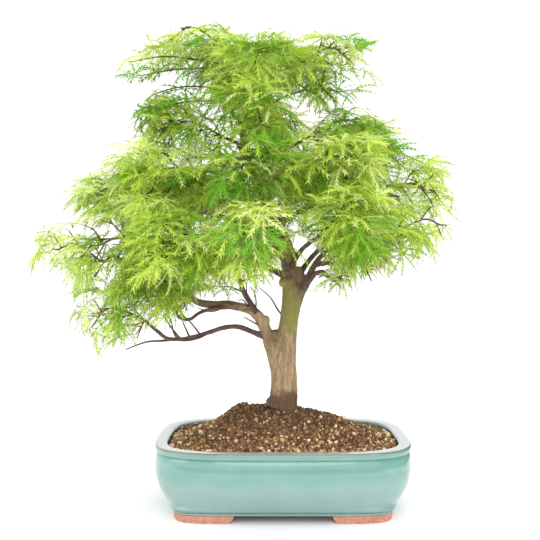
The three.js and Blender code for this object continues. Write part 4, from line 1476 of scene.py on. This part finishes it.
def grow_twig(pad, stem, plan, random, growth):
    """A twig, its spurs in opposite pairs, and a pair of leaves on the end of each."""
    share, sideways, upward = plan

    def jitter(size=JITTER):
        return strayed(size, random)

    def leaves_at(spot, way, sides, lift):
        grown = 0
        for side in sides:
            stalk_way = turned(way, side * STALK_ANGLE + jitter(), STALK_RISE + lift + jitter())
            grown += grow_leaf(pad, spot, stalk_way, random, growth, tone)
        return grown

    way = turned(pad.heading, sideways + jitter(), upward + pad.lift + JITTER_UP * jitter())
    length = TWIG_LENGTH * pad.reach * (1 + jitter(LENGTH_VARIES))
    length *= LAST_TWIG if share == 1 else 1
    twig = curved(stem.at(share), way, length, TWIG_SAG, jitter(TWIG_SWING), TWIG_POINTS)
    tone = spray_tone_and_light(twig[-1], random)
    grown = 0
    for number, node in enumerate(SPUR_NODES):
        root = twig[round(node * (len(twig) - 1))]
        for turn in (-1, 1):
            flat = (number + (upward != 0)) % 2 == 0
            way_out = turned(way, turn * SPUR_ANGLE + jitter(), upward * 0.5 + pad.lift + jitter(10))
            if not flat:
                way_out = turned(way, jitter(22), clamp(upward * 0.5 + turn * SPUR_ANGLE, -50, 60) + pad.lift)
            length = SPUR_LENGTH * pad.reach * (0.75 + 0.5 * random())
            spur = curved(root, way_out, length, SPUR_SAG, SPUR_SWING, SPUR_POINTS)
            dealt = leaves_at(spur[-1], way_out, (-1, 1), 0)
            if dealt:
                growth.spurs.append(spur)
            grown += dealt
    grown += leaves_at(twig[-1], way, (-1, 0, 1), 0.4 * upward)
    if grown or (random() < BARE_TWIGS and share_inside_crown([twig[-1]])):
        growth.twigs.append(twig)


CROWN_LOW = 0.23
CROWN_HIGH = 0.57
CROWN_HALF_WIDTH = 0.25
TONES = 5
# A spray's tone, partly painted light: its least, and what height, distance out and chance add to it.
# Height and distance out paint sprays at the top and outside of the crown lighter, and those inside and
# low darker, as painted light and shade; chance adds a random tone.
LEAST_LIGHT = 0.13
LIGHT_HIGH, LIGHT_OUT, LIGHT_CHANCE = 0.14, 0.1, 0.9


def spray_tone_and_light(point, random):
    """A spray's colour: a random tone, with painted light that makes it brighter towards the outside and
    the top of the crown, and painted shade that makes it darker inside.
    """
    height = clamp((point.z - CROWN_LOW) / (CROWN_HIGH - CROWN_LOW))
    out = clamp(math.hypot(point.x, point.y) / CROWN_HALF_WIDTH)
    light = LIGHT_HIGH * height + LIGHT_OUT * out + LIGHT_CHANCE * random() + LEAST_LIGHT
    return clamp(light) * (TONES - 1.3)


def near_tone(tone, random):
    return int(clamp(round(tone + strayed(1, random)), 0, TONES - 1))


@functools.lru_cache
def grow(lobe, stalk):
    """Grows every pad in turn, then the leaves on the side twigs."""
    pads = plant()[1]
    growth = Growth(lobe, stalk)
    for index, pad in enumerate(pads):
        random = seeded(FIRST_SEED + SEED_STEP * index)
        stem = stem_of(pad)
        growth.stems.append(stem)
        for plan in twig_plan():
            grow_twig(pad, stem, plan, random, growth)
    grow_side_leaves(pads, growth)
    return growth


def tubes(paths, radii, sides):
    """Joined tapering tubes: corners and triangles. radii gives the radius at each end."""
    paths = np.array(paths, float)
    count, points, _ = paths.shape
    ahead = np.gradient(paths, axis=1)
    ahead /= np.linalg.norm(ahead, axis=2, keepdims=True)
    least = np.argmin(np.abs(ahead.mean(axis=1)), axis=1)
    across = np.cross(ahead, np.eye(3)[least][:, None, :])
    across /= np.linalg.norm(across, axis=2, keepdims=True)
    other = np.cross(ahead, across)
    turn = 2 * math.pi * np.arange(sides) / sides
    taper = np.linspace(radii[0], radii[1], points)[None, :, None, None]
    ring = np.cos(turn)[:, None] * across[:, :, None] + np.sin(turn)[:, None] * other[:, :, None]
    corners = (paths[:, :, None] + taper * ring).reshape(-1, 3)
    k = np.arange(sides)
    onward = (k + 1) % sides
    walls = []
    for low in range(0, (points - 1) * sides, sides):
        high = low + sides
        walls.append(np.stack([low + k, low + onward, high + onward], 1))
        walls.append(np.stack([low + k, high + onward, high + k], 1))
    fan = np.arange(1, sides - 1)
    last = (points - 1) * sides
    walls.append(np.stack([0 * fan + last, last + fan, last + fan + 1], 1))
    walls.append(np.stack([0 * fan, fan + 1, fan], 1))
    one = np.concatenate(walls)
    return corners, copied(one, count, points * sides)


def joined(parts):
    """Several (corners, triangles) as one pair."""
    corners, triangles, offset = [], [], 0
    for some, faces in parts:
        corners.append(some)
        triangles.append(faces + offset)
        offset += len(some)
    return np.concatenate(corners), np.concatenate(triangles)


# The tubes of the fine wood: radii at the root and at the tip, and number of sides.
TWIG_TUBE = ((0.00105, 0.0007), 5)
SPUR_TUBE = ((0.00072, 0.0005), 4)
STALK_TUBE = ((0.00042, 0.00032), 3)
# Steps along a stem and along a side twig, and the sides of each.
STEM_STEPS, STEM_SIDES = 14, 7
SIDE_TWIG_STEPS, SIDE_TWIG_SIDES = 12, 6


def make_twigs(settings, wood_settings):
    """Stems, twigs and spurs as one piece."""
    growth = grow(settings.lobe, settings.stalk)
    parts = [tubes([stem.path(STEM_STEPS)], stem.radii, STEM_SIDES) for stem in growth.stems]
    parts += [tubes([twig.path(SIDE_TWIG_STEPS)], twig.radii, SIDE_TWIG_SIDES) for twig in side_twigs()]
    parts += [tubes(growth.twigs, *TWIG_TUBE), tubes(growth.spurs, *SPUR_TUBE)]
    mesh = mesh_of_triangles("twigs", *joined(parts))
    return show(mesh, [plain_bark("Twig Bark", wood_settings.twig)], FOLIAGE_NODES)


def make_stalks(settings):
    """The leaf stalks as one piece."""
    growth = grow(settings.lobe, settings.stalk)
    mesh = mesh_of_triangles("leaf_stalks", *tubes(growth.stalks, *STALK_TUBE))
    return show(mesh, [plain_bark("Leaf Stalk", settings.stem)], FOLIAGE_NODES)


def lobe_line(length, stretches, random):
    """The middle line of a lobe that rises, arches over and falls: shares, distances out and heights."""
    rise = LOBE_RISE + random.uniform(-9, 9)
    fall = LOBE_FALL + random.uniform(-20, 22)
    shares = np.append(np.linspace(0.03, THREAD_START, stretches - 1), [THREAD_END, 1])
    fine = np.linspace(0, 1, 41)
    slope = np.radians(rise + (fall - rise) * fine**1.25)
    out = np.concatenate([[0], np.cumsum(np.cos(slope[:-1]) / 40)])
    up = np.concatenate([[0], np.cumsum(np.sin(slope[:-1]) / 40)])
    return shares, length * np.interp(shares, fine, out), length * np.interp(shares, fine, up)


def leaf_form(random):
    """One cut leaf with its middle lobe of length 1: corners, faces, and which faces are tips. Each
    face is a stretch of a lobe with a narrow tooth on either side."""
    up = np.array(UP)
    corners, faces, tips = [], [], []
    for angle, length, stretches in LOBES:
        turn = math.radians(angle + random.uniform(-6, 6))
        length *= random.uniform(0.9, 1.08)
        shares, out, height = lobe_line(length, stretches, random)
        swing = random.uniform(-LOBE_SWING, LOBE_SWING)
        roll = random.uniform(-LOBE_ROLL, LOBE_ROLL)
        ahead = np.array([math.cos(turn), math.sin(turn), 0.0])
        aside = np.array([-math.sin(turn), math.cos(turn), 0.0])
        cross = math.cos(roll) * aside + math.sin(roll) * up
        line = np.outer(out, ahead) + np.outer(swing * out**2, aside) + np.outer(height, up)
        base = len(corners)
        for spot, share in zip(line[:-1], shares):
            half = BLADE_HALF_WIDTH * (1 - BLADE_TAPER * share**1.5)
            corners += [spot + half * cross, spot - half * cross]
        corners.append(line[-1])
        tip = len(corners) - 1
        faces.append([base, base + 1, base + 3, base + 2])
        for i in range(1, stretches - 2):
            left, tooth = base + 2 * i, len(corners)
            forward = (line[i + 1] - line[i]) / np.linalg.norm(line[i + 1] - line[i])
            for sign, near in ((1, left), (-1, left + 1)):
                start, end = corners[near], corners[near + 2]
                reach = TOOTH_LENGTH * length * (1 - TOOTH_TAPER * shares[i] ** 1.5)
                reach *= random.uniform(0.75, 1.25)
                bend = math.radians(TOOTH_ANGLE + random.uniform(-8, 8))
                away = math.cos(bend) * forward + sign * math.sin(bend) * cross
                corners += [start + TOOTH_ROOT * (end - start), end + reach * away - TOOTH_DROP * up]
            faces.append([left, left + 1, tooth + 2, tooth + 3, left + 3, left + 2, tooth + 1, tooth])
        faces += [[tip - 4, tip - 3, tip - 1, tip - 2], [tip - 2, tip - 1, tip]]
        tips += [len(faces) - 2, len(faces) - 1]
    return np.array(corners), faces, tips


STOREYS = {
    "leaves_low_left": ("low_left", "left_"),
    "leaves_low_right": ("low_right", "right_", "low_front"),
    "leaves_low_back": ("low_back",),
    "leaves_middle": ("mid_left", "mid_front", "mid_right"),
    "leaves_upper": ("mid_back", "upper_"),
    "leaves_top": ("top_",),
}


def make_leaves(settings):
    """The leaves of each storey as one piece, each spray in its own green."""
    growth = grow(settings.lobe, settings.stalk)
    random = np.random.default_rng(5)
    forms = [leaf_form(random) for _ in range(LEAF_FORMS)]
    greens = [
        leaf_material(name.title() + " Leaf", getattr(settings, name))
        for name in ("deep", "mid", "fresh", "bright", "pale")
    ]
    greens.append(leaf_material("Leaf Tip", settings.tip))
    for name, starts in STOREYS.items():
        pads = [pad for pad in PADS if pad.startswith(starts)]
        leaves = [leaf for pad in pads for leaf in growth.leaves[pad]]
        parts, offset = [], 0
        for number, (corners, faces, tips) in enumerate(forms):
            some = [leaf[:4] for leaf in leaves if leaf[4] == number]
            if not some:
                continue
            palms, axes, lengths, tones = (np.array(column) for column in zip(*some))
            spots = palms[:, None] + lengths[:, None, None] * np.einsum("kc,ncx->nkx", corners, axes)
            loops = copied(np.concatenate(faces)[:, None], len(some), len(corners)) + offset
            dealt = np.repeat(tones[:, None], len(faces), axis=1)
            dealt[:, tips] = TONES
            sizes = np.tile([len(face) for face in faces], len(some))
            parts.append((spots.reshape(-1, 3), loops.ravel(), sizes, dealt.ravel()))
            offset += len(some) * len(corners)
        mesh = mesh_from_arrays(name, *map(np.concatenate, zip(*parts)))
        show(mesh, greens, ["foliage_" + pad for pad in pads])


# Stage

# Cards that only the glaze's reflections show: size, turn about the line of sight in degrees, and
# place. One lies on the floor before the pot, and one stands at its right.
CARDS = {
    "dark_card": ((2.4, 1.3, 1.0), 0, (0.04, -0.98, 0.0008)),
    "side_card": ((0.5, 1.2, 1.0), 90, (0.5, 0.1, 0.25)),
}
CARD_COLOURS = (srgb(70, 84, 82), srgb(60, 72, 70))
# Soft lamps: place, size and colour. The one in front isn't mirrored in the glaze.
LAMP_TARGET = (POT_X, 0.0, 0.3)
LAMPS = {
    "key": ((1.3, -1.1, 1.5), 1.0, (1.0, 0.99, 0.97)),
    "fill": ((-1.5, -0.9, 1.2), 1.2, (0.98, 0.99, 1.0)),
    "top": ((0.0, 0.2, 2.0), 1.4, (1.0, 1.0, 1.0)),
    "front": ((0.1, -1.7, 1.0), 1.2, (1.0, 1.0, 1.0)),
}


def sheet(name, material, size, turn=0, place=(0, 0, 0)):
    """A flat sheet that stands on the stage."""
    bm = bmesh.new()
    bmesh.ops.create_grid(bm, x_segments=1, y_segments=1, size=0.5)
    bmesh.ops.scale(bm, vec=size, verts=bm.verts)
    bmesh.ops.rotate(bm, cent=(0, 0, 0), matrix=Matrix.Rotation(math.radians(turn), 3, "Y"), verts=bm.verts)
    bmesh.ops.translate(bm, vec=place, verts=bm.verts)
    mesh = bpy.data.meshes.new(name)
    bm.to_mesh(mesh)
    bm.free()
    mesh.materials.append(material)
    made = bpy.data.objects.new(name, mesh)
    bpy.context.scene.collection.objects.link(made)
    return made


def make_stage(settings):
    """Pale floor, white surround, soft lamps and the camera."""
    scene = bpy.context.scene
    pale = surface("Pale Floor", spotted(settings.floor_colour, 0.985, 3.0), roughness=1.0, specular=0.0)
    sheet("floor", pale, (settings.floor, settings.floor, 1.0))
    dark = surface("Dark Card", lambda tree: mottled(tree, *CARD_COLOURS, 3.0), roughness=0.9)
    for name, row in CARDS.items():
        card = sheet(name, dark, *row)
        card.visible_camera = card.visible_diffuse = card.visible_shadow = card.visible_transmission = False
    world = bpy.data.worlds.new("Surround")
    world.use_nodes = True
    backdrop = world.node_tree.nodes["Background"]
    backdrop.inputs["Color"].default_value = (1.0, 1.0, 1.0, 1.0)
    backdrop.inputs["Strength"].default_value = settings.sky
    scene.world = world
    for name, (place, size, colour) in LAMPS.items():
        data = bpy.data.lights.new(name, "AREA")
        data.shape, data.size, data.color = "DISK", size, colour
        data.energy = getattr(settings, name + "_power")
        data.specular_factor = 0.0 if name == "front" else 1.0
        lamp = bpy.data.objects.new(name, data)
        lamp.location = place
        lamp.rotation_euler = (Vector(LAMP_TARGET) - Vector(place)).to_track_quat("-Z", "Y").to_euler()
        scene.collection.objects.link(lamp)
    data = bpy.data.cameras.new("camera")
    data.lens, data.sensor_width = settings.lens, CAMERA_SENSOR
    data.clip_start, data.clip_end = CAMERA_CLIP
    camera = bpy.data.objects.new("camera", data)
    camera.location = (POT_X + CAMERA_SIDE, -settings.distance, CAMERA_HEIGHT)
    camera.rotation_euler = (math.radians(90 - CAMERA_PITCH), 0, 0)
    scene.collection.objects.link(camera)
    scene.camera = camera
    scene.view_settings.view_transform = "Standard"


# Operators


class MAPLE_OT_pot(Operator):
    """Makes the glazed body of the pot"""

    bl_idname = "maple.pot"
    bl_label = "Make Pot"

    def execute(self, context):
        make_pot(context.scene.maple.pot)
        return {"FINISHED"}


class MAPLE_OT_feet(Operator):
    """Makes the clay feet of the pot"""

    bl_idname = "maple.feet"
    bl_label = "Make Feet"

    def execute(self, context):
        settings = context.scene.maple.pot
        material = clay_material(settings)
        for node in FEET_NODES:
            make_foot(node, settings, material)
        return {"FINISHED"}


class MAPLE_OT_soil(Operator):
    """Makes the soil with its crumbs and grit"""

    bl_idname = "maple.soil"
    bl_label = "Make Soil"

    def execute(self, context):
        settings = context.scene.maple.soil
        make_soil(settings)
        random = np.random.default_rng(settings.seed)
        crumbs = scattered("soil_crumbs", settings.crumbs, settings.crumb, CRUMB_SHARES, random)
        materials = [grain_material(name, srgb(*colour)) for name, colour in CRUMB_COLOURS]
        show(crumbs, materials, ["soil"])
        grit = scattered("soil_grit", settings.grains, settings.grit, GRIT_SHARES, random, GRIT_BIAS)
        materials = [grain_material(name, srgb(*colour), 0.8) for name, colour in GRIT_COLOURS]
        show(grit, materials, ["soil"])
        return {"FINISHED"}


class MAPLE_OT_trunk(Operator):
    """Makes the trunk and its two main limbs"""

    bl_idname = "maple.trunk"
    bl_label = "Make Trunk"

    def execute(self, context):
        make_trunk(context.scene.maple.wood)
        return {"FINISHED"}


class MAPLE_OT_boughs(Operator):
    """Makes the boughs"""

    bl_idname = "maple.boughs"
    bl_label = "Make Boughs"

    def execute(self, context):
        make_boughs(context.scene.maple.wood)
        return {"FINISHED"}


class MAPLE_OT_twigs(Operator):
    """Makes the twigs and the leaf stalks"""

    bl_idname = "maple.twigs"
    bl_label = "Make Twigs"

    def execute(self, context):
        settings = context.scene.maple
        make_twigs(settings.foliage, settings.wood)
        make_stalks(settings.foliage)
        return {"FINISHED"}


class MAPLE_OT_leaves(Operator):
    """Makes the leaves"""

    bl_idname = "maple.leaves"
    bl_label = "Make Leaves"

    def execute(self, context):
        make_leaves(context.scene.maple.foliage)
        return {"FINISHED"}


class MAPLE_OT_stage(Operator):
    """Makes the floor, the lamps and the camera"""

    bl_idname = "maple.stage"
    bl_label = "Make Stage"

    def execute(self, context):
        make_stage(context.scene.maple.stage)
        return {"FINISHED"}


OPERATORS = [
    MAPLE_OT_pot,
    MAPLE_OT_feet,
    MAPLE_OT_soil,
    MAPLE_OT_trunk,
    MAPLE_OT_boughs,
    MAPLE_OT_twigs,
    MAPLE_OT_leaves,
    MAPLE_OT_stage,
]


class MAPLE_PT_panel(Panel):
    """Lists the settings and the steps that make the plant"""

    bl_idname = "MAPLE_PT_panel"
    bl_label = "Maple"
    bl_space_type = "VIEW_3D"
    bl_region_type = "UI"
    bl_category = "Maple"

    def draw(self, context):
        for part in MapleSettings.__annotations__:
            group = getattr(context.scene.maple, part)
            box = self.layout.box()
            for name in group.__annotations__:
                box.prop(group, name)
        for operator in OPERATORS:
            self.layout.operator(operator.bl_idname)


SETTINGS = [PotSettings, SoilSettings, WoodSettings, FoliageSettings, StageSettings, MapleSettings]
CLASSES = [*SETTINGS, *OPERATORS, MAPLE_PT_panel]


def register():
    for each in CLASSES:
        bpy.utils.register_class(each)
    bpy.types.Scene.maple = PointerProperty(type=MapleSettings)


def unregister():
    del bpy.types.Scene.maple
    for each in reversed(CLASSES):
        bpy.utils.unregister_class(each)


def main():
    register()
    bpy.ops.maple.pot()
    bpy.ops.maple.feet()
    bpy.ops.maple.soil()
    bpy.ops.maple.trunk()
    bpy.ops.maple.boughs()
    bpy.ops.maple.twigs()
    bpy.ops.maple.leaves()
    bpy.ops.maple.stage()


if __name__ == "__main__":
    main()
